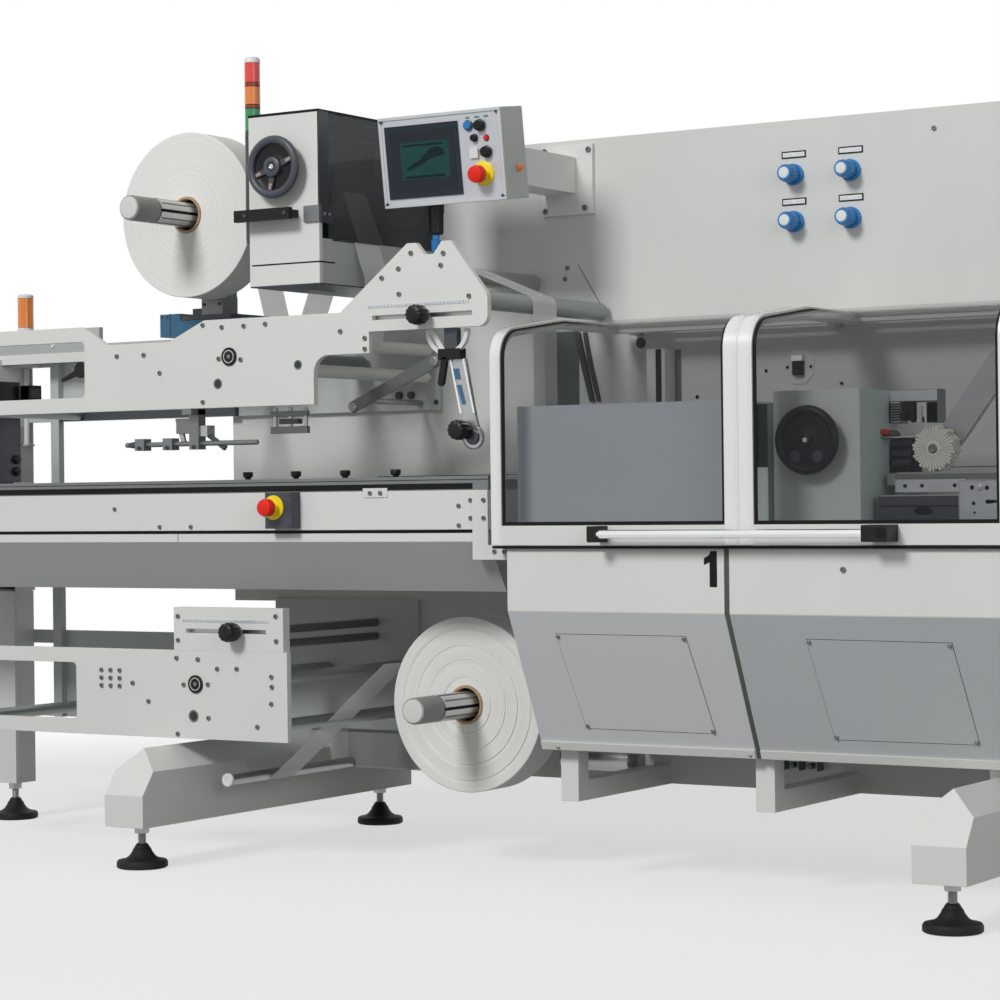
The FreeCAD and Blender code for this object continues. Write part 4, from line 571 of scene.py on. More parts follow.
def slot_knob(name, body, x, z, depth, node):
    """Knob that slides in a plate's slot, with its washer and its pin."""
    shape = Shape()
    fluted_knob(shape, (x, KNOB_BACK - KNOB_LENGTH, z), KNOB_LENGTH)
    shape.turned((x, KNOB_BACK, z), "y", [(-0.0005, 0.0165), (0, 0.017), (0.004, 0.017), (0.005, 0.016)], 32,
                 kind=1)
    shape.turned((x, KNOB_BACK, z), "y", [(0.004, 0.0048), (depth, 0.0048)], 20, kind=1)
    shape.finish(name, "black_plastic", black_plastic, steel, body=body, replaces=[node])


slot_knob("upper_adjusting_knob", "upper_adjuster", 0.212, 1.249, 0.032, "upper_slot_knob")
slot_knob("lower_adjusting_knob", "lower_adjuster", -0.319, 0.542, 0.042, "lower_slot_knob")

MARK_STEP, LONG_MARK, SHORT_MARK = 0.010, 0.005, 0.003
scales = Shape()
for left, right, z, rise in ((0.062, 0.330, 1.249, 0.022), (-0.478, -0.228, 0.542, 0.021)):
    scales.box((left, PLATE_FACE - 0.0012, z + rise), (right, PLATE_FACE, z + rise + 0.007), kind=1)
    for n in range(int((right - left) / MARK_STEP)):
        tall = LONG_MARK if n % 5 == 0 else SHORT_MARK
        scales.box((left + 0.004 + MARK_STEP * n, PLATE_FACE - 0.0015, z + rise + 0.001),
                   (left + 0.0048 + MARK_STEP * n, PLATE_FACE - 0.0012, z + rise + 0.001 + tall), kind=2)
    scales.box((left + 0.004, PLATE_BACK + 0.001, z - 0.008), (right + 0.008, PLATE_BACK + 0.004, z + 0.008))
scales.finish("slot_scales_and_rails", "aluminium", steel, zinc, dark_steel)


# Film reels: wound film, cardboard core and an expanding mandrel with black strips and a grey sleeve
FILM_FRONT, FILM_WIDTH, CORE_OUT = -0.165, 0.100, 0.0443
REEL_RADIUS, WINDS = 0.200, 26
JAWS, JAW_SPAN = 5, 29
MANDREL_TIP = -0.384


def reel(name, body, x, z, bearing_back, nodes, ridges=()):
    """Roll of film, cardboard core and mandrel. Ridges are radii of coarser winds."""
    roll = Shape()
    face = []
    for n in range(WINDS + 1):
        out = CORE_OUT + (REEL_RADIUS - 0.0015 - CORE_OUT) * n / WINDS
        face.append((0.0003 * math.sin(n * 2.3) * math.sin(n * 0.7) + 0.0003, out))
    for out in ridges:
        face += [(0.0004, out - 0.0016), (-0.0012, out), (0.0016, out + 0.0010)]
    face.sort(key=lambda place: place[1])
    back = [(FILM_WIDTH, face[-1][1]), (FILM_WIDTH, face[0][1])]
    roll.turned((x, FILM_FRONT, z), "y", face + [(0.0015, REEL_RADIUS),
                                                 (FILM_WIDTH - 0.0015, REEL_RADIUS)] + back, 128, closed=True)
    roll.finish(f"{name}_wound_film", "film", wound_film(f"{name}_film_side", x, z), body=body,
                replaces=[nodes[0]])
    core = Shape()
    core.turned((x, FILM_FRONT - 0.004, z), "y", [(0, 0.0385), (0, 0.0435), (0.0005, 0.044), (0.1035, 0.044),
                                                  (0.104, 0.0435), (0.104, 0.0385)], 64, closed=True)
    core.finish(f"{name}_cardboard_core", "cardboard", cardboard, body=body, replaces=[nodes[1]])
    mandrel = Shape()
    mandrel.turned((x, MANDREL_TIP, z), "y", [(0.001, 0.010), (0, 0.022), (0.001, 0.0255), (0.004, 0.0265)],
                   48, kind=2)
    mandrel.turned((x, MANDREL_TIP, z), "y", [(0.003, 0.0262), (0.004, 0.0290), (0.010, 0.0300),
                                              (0.084, 0.0300), (0.087, 0.0285)], 48, kind=1)
    mandrel.turned((x, MANDREL_TIP, z), "y", [(0.086, 0.0260), (0.300, 0.0260)], 48, kind=3)
    for n in range(JAWS):
        middle = 360 / JAWS * n + 35
        jaw = arc(x, z, 0.0305, middle - JAW_SPAN, middle + JAW_SPAN, 8)
        jaw += arc(x, z, 0.0255, middle + JAW_SPAN, middle - JAW_SPAN, 8)
        mandrel.slab(jaw, "y", MANDREL_TIP + 0.089, FILM_FRONT + FILM_WIDTH, kind=0)
        groove = arc(x, z, 0.0309, middle - 4, middle + 4, 3) + arc(x, z, 0.0303, middle + 4, middle - 4, 3)
        mandrel.slab(groove, "y", MANDREL_TIP + 0.094, FILM_FRONT + FILM_WIDTH, kind=4)
    mandrel.turned((x, FILM_FRONT, z), "y", [(0.012, 0.030), (0.016, 0.0374), (FILM_WIDTH, 0.0376),
                                             (FILM_WIDTH, 0.0162),
                                             (bearing_back - 0.005 - FILM_FRONT, 0.016)], 48, kind=3)
    mandrel.finish(f"{name}_expanding_mandrel", "aluminium", aluminium, sleeve_grey, cap_white, plain_black,
                   dull_steel, body=body, replaces=[nodes[2]])


reel("upper", "upper_reel", -0.613, 1.540, 0.003, ["upper_film_roll", "upper_reel_core", "upper_mandrel"])
reel("lower", "lower_reel", 0.181, 0.375, WALL, ["lower_film_roll", "lower_reel_core", "lower_mandrel"],
     ridges=(0.064, 0.104, 0.136, 0.172))

# Film on its way: wrapped round each roller as one thin sheet
SHEET = 0.0008


def film_sheet(name, path, node=None):
    """Film through (x, z) places, as wide as the reels."""
    shape = Shape()
    shape.slab(path + beside(path, SHEET)[::-1], "y", FILM_FRONT, FILM_FRONT + FILM_WIDTH)
    shape.finish(name, "film", film, replaces=[node] if node else [])


ROUND_GUIDE = 0.0214
film_sheet("upper_film_web", arc(0.168, 1.352, ROUND_GUIDE, 150, 68) + arc(0.350, 1.277, ROUND_GUIDE, 68, 0)
           + [(0.3714, 0.895)], "film_webs")
film_sheet("upper_reel_web", [(-0.4135, 1.552), (-0.4120, 1.400), (-0.3560, 1.185)])
film_sheet("register_feed_web", [(-0.308, 1.187), (-0.245, 1.342)])
film_sheet("register_film_web", [(-0.116, 1.443), (-0.104, 1.405), (-0.085, 1.357), (-0.094, 1.290),
                                 (-0.1120, 1.206)])
film_sheet("lower_film_web", [(-0.045, 0.462)] + arc(-0.390, 0.191, 0.0134, -52, -130) + [(-0.452, 0.226)])

# Web roller with its white end cap, and the sensor bar with its clamps
web_roller = Shape()
web_roller.turned((-0.390, -0.310, 0.191), "y", round_bar(0.495, 0.013), 32)
web_roller.turned((-0.390, -0.318, 0.191), "y", [(0.0005, 0.004), (0.0008, 0.006), (0, 0.008), (0, 0.014),
                                                 (0.002, 0.016), (0.008, 0.016)], 32, kind=1)
web_roller.finish("web_roller_bar", "steel", steel, label_white, replaces=["web_roller"])
sensor = Shape()
sensor.turned((-0.677, -0.325, 0.980), "x", round_bar(0.396, 0.006), 20)
sensor.turned((-0.677, -0.325, 0.980), "x", [(-0.0005, 0.004), (0.030, 0.009), (0.034, 0.009)], 20, kind=1)
for x, top in ((-0.625, 0.994), (-0.540, 0.994), (-0.460, 1.061)):
    sensor.box((x - 0.014, -0.339, 0.966), (x + 0.014, -0.311, top))
    sensor.screw((x, -0.339, 0.972), 0.005, 0.004, kind=1)
sensor.box((-0.474, PLATE_FACE, 1.047), (-0.446, -0.311, 1.061))
sensor.finish("sensor_bar_and_clamps", "steel", dull_steel, dark_steel, bevel=0.001,
              replaces=["sensor_bar"])

# Register box: lid line, lower gap, corner strip, latch, handle, handwheel and the works behind its glass
BOX_LEFT, BOX_RIGHT, BOX_FACE, BOX_TOP = -0.318, -0.118, -0.300, 1.739
box_trim = Shape()
box_trim.boxes(
    ((BOX_LEFT - 0.001, BOX_FACE - 0.001, BOX_TOP - 0.004), (BOX_RIGHT + 0.001, WALL, BOX_TOP + 0.002)),
    ((BOX_LEFT + 0.006, BOX_FACE - 0.0008, 1.389), (BOX_RIGHT + 0.0008, BOX_FACE + 0.060, 1.3925)),
    ((BOX_RIGHT, -0.250, 1.4415), (BOX_RIGHT + 0.001, -0.060, 1.4445)),
    ((BOX_LEFT, BOX_FACE, 1.3395), (BOX_RIGHT, WALL, 1.3425), 1),
    ((BOX_RIGHT - 0.003, BOX_FACE, 1.500), (BOX_RIGHT + 0.0015, BOX_FACE + 0.038, BOX_TOP - 0.002), 2),
    ((-0.158, BOX_FACE - 0.006, 1.482), (BOX_RIGHT + 0.004, BOX_FACE + 0.004, 1.520), 3),
    ((BOX_RIGHT - 0.002, BOX_FACE + 0.002, 1.480), (BOX_RIGHT + 0.006, BOX_FACE + 0.046, 1.520), 1))
for depth in (0.014, 0.032):
    box_trim.turned((BOX_RIGHT + 0.0075, BOX_FACE + depth, 1.500), "x", [(-0.002, 0.0045), (0.0005, 0.0045),
                                                                        (0.001, 0.003)], 14, kind=3)
box_trim.finish("register_box_trim", "dark_paint", plain_black, dark_steel, dark_steel, dull_steel,
                bevel=0.0008)

pane = Shape()
pane.box((BOX_RIGHT - 0.004, BOX_FACE + 0.038, 1.446), (BOX_RIGHT, WALL, BOX_TOP - 0.003))
pane.finish("register_side_pane", "smoked_glass", dark_glass, replaces=["register_window"], bevel=0.0005)
works = Shape()
deep, near = BOX_RIGHT - 0.0115, BOX_RIGHT - 0.0045
works.box((deep - 0.0005, BOX_FACE + 0.013, 1.446), (deep, WALL, BOX_TOP - 0.003))
for z, height in ((1.718, 0.006), (1.700, 0.004), (1.680, 0.006), (1.655, 0.003)):
    works.box((deep, -0.250, z), (near, WALL - 0.002, z + height), kind=1)
works.boxes(
    ((deep, -0.070, 1.600), (near, 0.010, 1.665), 2),
    ((deep, -0.262, 1.500), (deep + 0.003, WALL - 0.002, 1.630), 3))
works.slab([(-0.196, 1.560), (-0.135, 1.447), (-0.036, 1.447), (-0.109, 1.560)], "x", deep + 0.003, near,
           kind=4)
for y, z in ((-0.090, 1.590), (-0.200, 1.540), (0.060, 1.560)):
    works.turned((near, y, z), "x", [(-0.004, 0.012), (0, 0.011), (0, 0.004), (-0.002, 0.003)], 24, kind=2)
works.box((deep + 0.0005, -0.040, 1.610), (near, 0.060, 1.650), kind=4)
works.finish("register_works", "dark_paint", plain_black, dark_steel, dull_steel, grey_plastic,
             cover_paint)

handle = Shape()
handle.box((-0.330, -0.345, 1.489), (-0.172, -0.329, 1.516))
for x in (-0.306, -0.192):
    handle.box((x, -0.330, 1.494), (x + 0.016, BOX_FACE, 1.512))
    handle.screw((x + 0.008, -0.345, 1.503), 0.005, 0.002, kind=1)
handle.finish("register_pull_handle", "black_plastic", black_plastic, dark_steel, bevel=0.004,
              replaces=["register_handle"])

WHEEL = (-0.225, -0.330, 1.612)


def rim_section(radius, half_wide, half_deep, steps=12):
    """Oval section of a handwheel rim, as (along, radius) places."""
    turns = [2 * math.pi * n / steps for n in range(steps)]
    return [(half_deep * math.sin(turn), radius + half_wide * math.cos(turn)) for turn in turns]


wheel = Shape()
wheel.turned(WHEEL, "y", rim_section(0.0630, 0.0098, 0.0095), 72, closed=True)
wheel.turned(WHEEL, "y", [(0.0010, 0.016), (0.0045, 0.022), (0.0055, 0.040), (0.0030, 0.055), (0.0000, 0.060),
                          (0.0085, 0.062), (0.0095, 0.012)], 72, kind=2)
wheel.turned(WHEEL, "y", [(-0.0085, 0.011), (-0.0100, 0.0125), (-0.0100, 0.0165), (-0.0075, 0.0225),
                          (0.0040, 0.0240), (0.0240, 0.0175)], 48)
wheel.turned(WHEEL, "y", [(-0.0090, 0.0012), (-0.0105, 0.004), (-0.0085, 0.0065)], 24, kind=1)
wheel.turned(WHEEL, "y", [(-0.0070, 0.0060), (-0.0086, 0.0075), (-0.0086, 0.0105), (-0.0070, 0.0115)], 32,
             kind=2)
wheel.turned(WHEEL, "y", [(0.023, 0.008), (0.058, 0.008)], 24, kind=1)
for angle in (-19, 161, 101):
    rib = Shape(Matrix.Translation(WHEEL) @ Matrix.Rotation(math.radians(angle), 4, "Y"))
    rib.slab([(0.022, -0.0075), (0.056, -0.0055), (0.056, 0.0055), (0.022, 0.0075)], "y", -0.0010, 0.0060)
    rib.slab([(0.038, -0.0042), (0.053, -0.0030), (0.053, 0.0030), (0.038, 0.0042)], "y", -0.0018, -0.0010,
             kind=3)
    wheel.include(rib)
wheel.finish("register_wheel_rim_and_dish", "dark_grey_plastic", grey_plastic, zinc, black_plastic, rib_metal,
             body="register_wheel", bevel=0.0012, replaces=["register_handwheel"])

# Handwheel on the jaw housing: a dish with two finger recesses and a bright centre
DISH = (1.100, -0.280, 0.956)
dish = Shape()
dish.turned(DISH, "y", rim_section(0.0625, 0.0095, 0.0098), 72, closed=True)
dish.turned(DISH, "y", [(-0.0050, 0.014), (-0.0020, 0.024), (-0.0010, 0.040), (-0.0025, 0.056),
                        (-0.0020, 0.062), (0.0050, 0.062), (0.0050, 0.010)], 56)
dish.turned(DISH, "y", [(-0.0098, 0.009), (-0.0085, 0.0135), (-0.0030, 0.016), (0.0240, 0.0175)], 40)
dish.turned(DISH, "y", [(-0.0102, 0.002), (-0.0106, 0.004), (-0.0095, 0.0055)], 24, kind=1)
dish.turned(DISH, "y", [(0.023, 0.008), (0.058, 0.008)], 24, kind=2)
for across in (-0.026, 0.026):
    spot = (DISH[0] + across, DISH[1], DISH[2] - 0.034)
    dish.turned(spot, "y", [(-0.0042, 0.0125), (-0.0046, 0.0115), (-0.0030, 0.0100), (-0.0026, 0.004)], 28,
                kind=3)
dish.finish("jaw_wheel_dish", "dark_grey_plastic", black_plastic, label_white, steel, grey_plastic,
            body="jaw_wheel", replaces=["jaw_handwheel"])

# Stack light on the register box and beacon on the infeed
STACK_AT, BEACON_AT = (-0.351, -0.240, 0.0), (-1.404, 0.132, 0.0)
LENS_RADIUS = 0.0184


def lamp_part(shape, at, low, high, radius, kind):
    """Lens or ring of a lamp, with a small step at both ends."""
    shape.turned(at, "z", [(low, radius - 0.002), (low + 0.001, radius), (high - 0.001, radius),
                           (high, radius - 0.002)], 40, kind=kind)


stack = Shape()
for low, high, radius, kind in ((1.450, 1.700, 0.0185, 0), (1.694, 1.712, 0.0185, 0),
                                (1.712, 1.766, LENS_RADIUS, 3), (1.766, 1.775, LENS_RADIUS, 5),
                                (1.775, 1.818, LENS_RADIUS, 2), (1.818, 1.827, LENS_RADIUS, 5),
                                (1.827, 1.874, LENS_RADIUS, 1)):
    lamp_part(stack, STACK_AT, low, high, radius, kind)
stack.turned(STACK_AT, "z", [(1.874, 0.0185), (1.882, 0.0185), (1.887, 0.015), (1.888, 0.008)], 40, kind=4)
stack.box((-0.351, -0.248, 1.470), (BOX_LEFT, -0.232, 1.510), kind=0)
stack.finish("stack_light_lenses", "lamp", dark_steel, lamp_red, lamp_orange, lamp_green, label_white,
             lamp_brown, replaces=["stack_light"])
beacon = Shape()
beacon.turned(BEACON_AT, "z", [(1.228, 0.020), (1.230, 0.0215), (1.312, 0.0215), (1.313, 0.020)], 40, kind=1)
lamp_part(beacon, BEACON_AT, 1.313, 1.392, 0.0212, 0)
beacon.turned(BEACON_AT, "z", [(1.392, 0.0215), (1.398, 0.0215), (1.402, 0.018), (1.403, 0.010)], 40, kind=1)
beacon.finish("beacon_lens", "lamp", lamp_orange, label_white, replaces=["infeed_beacon"])

# Operator panel, leaning over the operator: all its parts in the panel's own frame
PANEL = Matrix.Translation((-0.010, -0.190, 1.512)) @ Matrix.Rotation(math.radians(7.7), 4, "X")
PANEL_WIDE, PANEL_DEEP, PANEL_HIGH = 0.333, 0.095, 0.207
case = Shape(PANEL)
case.box((0, 0.004, 0), (PANEL_WIDE, PANEL_DEEP, PANEL_HIGH))
case.finish("panel_case", "light_grey_paint", surface("panel_paint", (188, 193, 190), 0.4, vary=0.03),
            bevel=0.003, replaces=["hmi_box"])
front = Shape(PANEL)
front.box((0.004, 0, 0.004), (PANEL_WIDE - 0.004, 0.004, PANEL_HIGH - 0.004))
for low, high in (((0.001, 0), (0.332, 0.008)), ((0.001, 0.199), (0.332, 0.207)),
                  ((0.001, 0.008), (0.009, 0.199)), ((0.324, 0.008), (0.332, 0.199))):
    front.box((low[0], -0.0025, low[1]), (high[0], 0.004, high[1]), kind=1)
front.finish("panel_front_plate", "light_grey_paint",
             surface("panel_front_paint", (204, 206, 213), 0.3, metallic=0.1, vary=0.04), zinc, bevel=0.0015)
controls = Shape(PANEL)
for x, z in ((0.010, 0.010), (0.323, 0.010), (0.010, 0.197), (0.323, 0.197)):
    controls.screw((x, -0.0025, z), 0.0035, 0.002, kind=6)
controls.boxes(
    ((0.018, -0.003, 0.020), (0.218, 0, 0.185)),
    ((0.030, -0.0036, 0.034), (0.206, -0.003, 0.172), 2),
    ((0.058, -0.0038, 0.062), (0.190, -0.0036, 0.146), 1))
controls.slab([(0.070, 0.080), (0.120, 0.096), (0.136, 0.106), (0.178, 0.112), (0.176, 0.124), (0.160, 0.132),
               (0.140, 0.130), (0.112, 0.106), (0.076, 0.090)], "y", -0.0040, -0.0038, kind=3)
for low, high in ((0.064, 0.070), (0.136, 0.141)):
    controls.box((0.066, -0.0040, low), (0.176, -0.0038, high), kind=3)


def emergency_stop(shape, at, base, head):
    """Round base plate, neck and mushroom head of an emergency stop."""
    shape.turned(at, "y", [(0, 0.028), (-0.0035, 0.028), (-0.004, 0.0272)], 40, kind=base)
    shape.turned(at, "y", [(-0.004, 0.013), (-0.016, 0.013)], 28, kind=base)
    shape.turned(at, "y", [(-0.016, 0.0165), (-0.020, 0.0195), (-0.034, 0.0200), (-0.040, 0.0180),
                           (-0.042, 0.012)], 36, kind=head)


BLACK, BLUE, RED, YELLOW, WHITE, COLLAR, GREEN_LABEL = 4, 7, 8, 9, 5, 6, 10


def button(x, z, radius, kind, rise=0.010):
    """Push button with a dark collar on the operator panel."""
    controls.turned((x, 0, z), "y", [(0, radius * 1.25), (-0.002, radius * 1.25), (-0.003, radius * 1.1)], 28,
                    kind=COLLAR)
    controls.turned((x, 0, z), "y", [(-0.002, radius), (-rise + 0.002, radius), (-rise, radius * 0.8),
                                     (-rise - 0.0005, radius * 0.3)], 28, kind=kind)


button(0.246, 0.172, 0.010, BLUE)
button(0.278, 0.170, 0.0115, BLACK, 0.016)
button(0.260, 0.143, 0.0075, BLACK, 0.012)
button(0.291, 0.141, 0.0060, RED, 0.006)
button(0.290, 0.110, 0.0115, BLACK, 0.016)
controls.box((0.246, -0.006, 0.098), (0.268, 0, 0.120), kind=WHITE)
for x, wide in ((0.240, 0.010), (0.264, 0.012), (0.288, 0.012)):
    controls.box((x, -0.0006, 0.187), (x + wide, 0, 0.191), kind=GREEN_LABEL)
emergency_stop(controls, (0.276, 0, 0.062), YELLOW, RED)
controls.finish("panel_screen_and_buttons", "black_plastic", bezel_slate, screen_teal, screen_frame,
                screen_dark, black_plastic, label_white, dark_steel, blue_plastic, red_plastic,
                yellow_plastic, lamp_green, replaces=["hmi_controls"])
side_lamp = Shape(PANEL)
side_lamp.turned((PANEL_WIDE, 0.058, 0.068), "x", [(0, 0.009), (0.003, 0.009), (0.004, 0.007),
                                                   (0.010, 0.0065)], 24)
side_lamp.finish("panel_side_lamp", "lamp", lamp_orange)
arm_screws = [(0.320, 0.175, 1.661), (0.309, 0.175, 1.525), (0.201, 0.175, 1.522), (0.200, 0.175, 1.664)]
screws("arm_flange_screws", arm_screws, radius=0.007)
gland = Shape()
gland.turned((0.105, -0.150, 1.449), "z", [(0, 0.012), (0.003, 0.0160), (0.046, 0.0165), (0.050, 0.0180),
                                           (0.070, 0.0180)], 32)
gland.turned((0.103, -0.150, 1.407), "z", [(0, 0.0085), (0.004, 0.0105), (0.028, 0.0115), (0.032, 0.0085),
                                           (0.044, 0.0085)], 24, kind=1)
gland.finish("panel_cable_gland", "black_plastic", black_plastic, blue_plastic)

# Backboard: regulators, nameplates, screws and the panel seam
REGULATORS = [(0.850 + 0.140 * column, 1.458 + 0.106 * row) for column in range(2) for row in range(2)]
regulators, plates = Shape(), Shape()
for x, z in REGULATORS:
    spot = (x, WALL, z)
    regulators.turned(spot, "y", [(0, 0.024), (-0.010, 0.024), (-0.012, 0.022)], 36, kind=1)
    regulators.turned(spot, "y", [(-0.012, 0.0195), (-0.016, 0.0175), (-0.018, 0.0175)], 36, kind=1)
    regulators.turned(spot, "y", [(-0.018, 0.0190), (-0.022, 0.0200), (-0.046, 0.0193), (-0.053, 0.0165)], 72,
                      lobes=18, depth=0.03)
    regulators.turned(spot, "y", [(-0.0525, 0.0130), (-0.0545, 0.0120), (-0.055, 0.005)], 28, kind=2)
    plates.boxes(
        ((x - 0.030, WALL - 0.0015, z + 0.037), (x + 0.030, WALL, z + 0.053), 1),
        ((x - 0.027, WALL - 0.002, z + 0.040), (x + 0.027, WALL - 0.0015, z + 0.050)))
    for side in (-1, 1):
        plates.box((x + side * 0.014 - 0.010, WALL - 0.0023, z + 0.0435),
                   (x + side * 0.014 + 0.010, WALL - 0.002, z + 0.0465), kind=2)
regulators.finish("regulator_knobs", "blue_plastic", blue_plastic, blue_plastic, label_white,
                  replaces=["air_regulators"])
plates.finish("blank_nameplates", "dark_paint", label_white, plain_black, zinc)
screws("wall_screws", [(0.254, WALL, 1.386), (0.247, WALL, 1.361), (1.190, WALL, 1.641)])
seam = Shape()
seam.slab([(0.281, 1.393), (0.283, 1.393), (0.342, 1.299), (0.340, 1.299)], "y", WALL - 0.0006, WALL)
seam.box((-0.300, WALL - 0.0006, 0.8992), (1.590, WALL, 0.9008))
seam.finish("wall_seams", "dark_paint", dark_steel)
# Guard switch with its plate and screws on the backboard
latch = Shape()
latch.slab(oval(0.858, 1.131, 0.040, 0.042, 8, 22.5), "y", WALL - 0.002, WALL, kind=2)
latch.boxes(
    ((0.846, WALL - 0.014, 1.112), (0.870, WALL - 0.002, 1.144)),
    ((0.845, WALL - 0.016, 1.144), (0.871, WALL - 0.002, 1.156), 1))
for x, z in ((0.829, 1.131), (0.887, 1.131), (0.775, 1.125), (0.962, 1.091)):
    latch.screw((x, WALL - 0.0015, z), 0.0035, 0.003)
for x, z, radius in ((0.450, 1.201, 0.013), (0.597, 1.071, 0.005)):
    latch.turned((x, WALL, z), "y", [(-0.0006, radius), (-0.0010, radius * 0.9), (-0.0010, radius * 0.3)], 24)
latch.finish("guard_switch", "dark_paint", plain_black, chrome, wall_paint, bevel=0.002)

# Guard: bright profiles, black gaskets round the panes and the lifting handle
GUARD_FACE, GUARD_LOW, GLASS_FACE = -0.415, 0.742, -0.408
WINDOWS = [(0.439, 0.978), (1.044, 1.574)]
SILL = 0.784
ROOF_BEND, ROOF_BACK, ROOF_TOP, ROOF_RISE = -0.150, 0.088, 1.240, 0.035 / 0.265


def guard_path(inset, low, back=ROOF_BACK):
    """Line of the guard's front and roof in (y, z), set in from the outer face."""
    corner = (GUARD_FACE + inset, 1.205 + (ROOF_RISE - 1.009) * inset)
    return rounded([(GUARD_FACE + inset, low), corner, (ROOF_BEND, ROOF_TOP - inset),
                    (back, ROOF_TOP - inset)], 0.070 - inset)


gaskets = Shape()
for left, right in WINDOWS:
    for x in (left, right - 0.007):
        gaskets.band(guard_path(0.0042, SILL), x, x + 0.007, -0.0028)
    gaskets.boxes(
        ((left, GLASS_FACE - 0.003, SILL), (right, GLASS_FACE, SILL + 0.008)),
        ((left, 0.078, ROOF_TOP - 0.0045), (right, 0.0895, ROOF_TOP - 0.0005)),
        ((left, 0.050, ROOF_TOP - 0.0035), (right, 0.054, ROOF_TOP - 0.0012)))
gaskets.boxes(
    ((0.415, GUARD_FACE + 0.0002, GUARD_LOW - 0.007), (1.598, GUARD_FACE + 0.018, GUARD_LOW - 0.001)),
    ((0.415, 0.122, ROOF_TOP), (1.598, 0.130, ROOF_TOP + 0.0015)))
gaskets.finish("guard_gaskets", "black_rubber", plain_black, body="guard")
profiles = Shape()
bright = surface("guard_profile", (232, 232, 230), 0.22, metallic=0.25, vary=0.02, Coat_Weight=0.3)
for left, right in ((0.413, 0.439), (0.978, 1.010), (1.012, 1.044), (1.574, 1.600)):
    middle, half = (left + right) / 2, (right - left) / 2
    for share, rise in ((0.92, 0.0006), (0.7, 0.0014), (0.4, 0.0019)):
        profiles.band(guard_path(-rise, GUARD_LOW + 0.001), middle - half * share, middle + half * share,
                      -0.0008)
profiles.finish("guard_bright_profiles", "light_grey_paint", bright, body="guard")

grip = Shape()
GRIP_Y, GRIP_Z = -0.457, 0.766
grip.turned((0.700, GRIP_Y, GRIP_Z), "x", round_bar(0.624, 0.009), 32)
for x, far in ((0.682, 0.702), (1.306, 1.362)):
    grip.slab([(-0.469, 0.752), (-0.466, 0.749), (-0.415, 0.749), (-0.415, 0.783), (-0.466, 0.783),
               (-0.469, 0.780)], "x", x, far, kind=1)
grip.turned((1.348, -0.469, GRIP_Z), "y", [(0, 0.011), (-0.0008, 0.0105), (-0.0004, 0.007)], 28, kind=2)
grip.finish("guard_lifting_handle", "chrome", chrome, black_plastic, plain_black, body="guard",
            replaces=["guard_handle"], bevel=0.0012)

# Casings: number, access plates with their screws, lower flanges, painted shade on the sloping fronts and a
# dark joint of painted shade
CASING_FACE, CASING_BEND, CASING_LOW, SLOPE_BACK = -0.405, 0.602, 0.292, 0.140
digit = Shape()
digit.slab([(0.937, 0.656), (0.954, 0.656), (0.954, 0.730), (0.940, 0.730), (0.936, 0.722), (0.924, 0.715),
            (0.924, 0.701), (0.937, 0.707)], "y", CASING_FACE - 0.0006, CASING_FACE)
digit.finish("casing_number", "black_plastic", plain_black)


def on_slope(x, z, proud):
    """Place on the sloping front of a casing."""
    back = (CASING_BEND - z) / (CASING_BEND - CASING_LOW) * SLOPE_BACK
    return (x, CASING_FACE + back - proud, z)


def slope_sheet(shape, corners, proud, kind=0):
    """Thin sheet on the sloping front of a casing, by its (x, z) corners."""
    outer = [on_slope(x, z, proud) for x, z in corners]
    inner = [on_slope(x, z, -0.001) for x, z in corners]
    count = len(corners)
    sides = [[n, (n + 1) % count, count + (n + 1) % count, count + n] for n in range(count)]
    shape.add(outer + inner, sides + [list(range(count)), list(range(count, 2 * count))], kind)


SLOPE_TILT = math.atan2(SLOPE_BACK, CASING_BEND - CASING_LOW)
COVER_PROUD = 0.0016
COVERS = [[(0.553, 0.552), (0.867, 0.552), (0.886, 0.344), (0.572, 0.345)],
          [(1.144, 0.551), (1.458, 0.549), (1.476, 0.343), (1.161, 0.342)]]
# The right access cover takes the darker slope material: painted shade, as on the right slope
covers = Shape()
for n, corners in enumerate(COVERS):
    middle = (sum(x for x, z in corners) / 4, sum(z for x, z in corners) / 4)
    rim = [(middle[0] + (x - middle[0]) * 1.008, middle[1] + (z - middle[1]) * 1.012) for x, z in corners]
    slope_sheet(covers, rim, 0.0004, kind=1)
    slope_sheet(covers, corners, COVER_PROUD, kind=3 * n)
    for x, z in corners:
        at = (middle[0] + (x - middle[0]) * 0.97, middle[1] + (z - middle[1]) * 0.95)
        head = Shape(Matrix.Translation(on_slope(*at, COVER_PROUD)) @ Matrix.Rotation(-SLOPE_TILT, 4, "X"))
        head.screw((0, 0, 0), 0.0045, 0.0025, kind=2)
        covers.include(head)
covers.finish("casing_access_covers", "light_grey_paint", slope_paint, dark_steel, dark_steel,
              slope_painted_shade)
# The left slope gets the lighter slope material and the right slope the darker one: painted shade
slopes = Shape()
for n, (left, right) in enumerate(((0.447, 0.969), (0.983, 1.599))):
    slope_sheet(slopes, [(left, CASING_BEND - 0.002), (right, CASING_BEND - 0.002), (right, 0.312),
                         (left, 0.312)], 0.0003, kind=2 * n)
    slope_sheet(slopes, [(left, 0.311), (right, 0.311), (right, 0.293), (left, 0.293)], 0.005, kind=1)
slopes.finish("casing_slope_shading_and_flanges", "grey_paint", slope_paint, white_paint, slope_painted_shade)
screws("casing_screws", [(1.238, CASING_FACE, 0.693), (0.489, -0.270, 0.301), (0.958, -0.270, 0.302)],
       radius=0.006)
# The dark green strip fills the gap between the casings nearly flush: painted shade for the shade in that gap
joint = Shape()
joint.slab([(CASING_FACE + 0.002, 0.733), (CASING_FACE + 0.002, CASING_BEND), (-0.263, 0.294), (0.100, 0.294),
            (0.100, 0.733)], "x", 0.9702, 0.9818)
joint.finish("casing_joint_painted_shade", "dark_paint", shade_green)

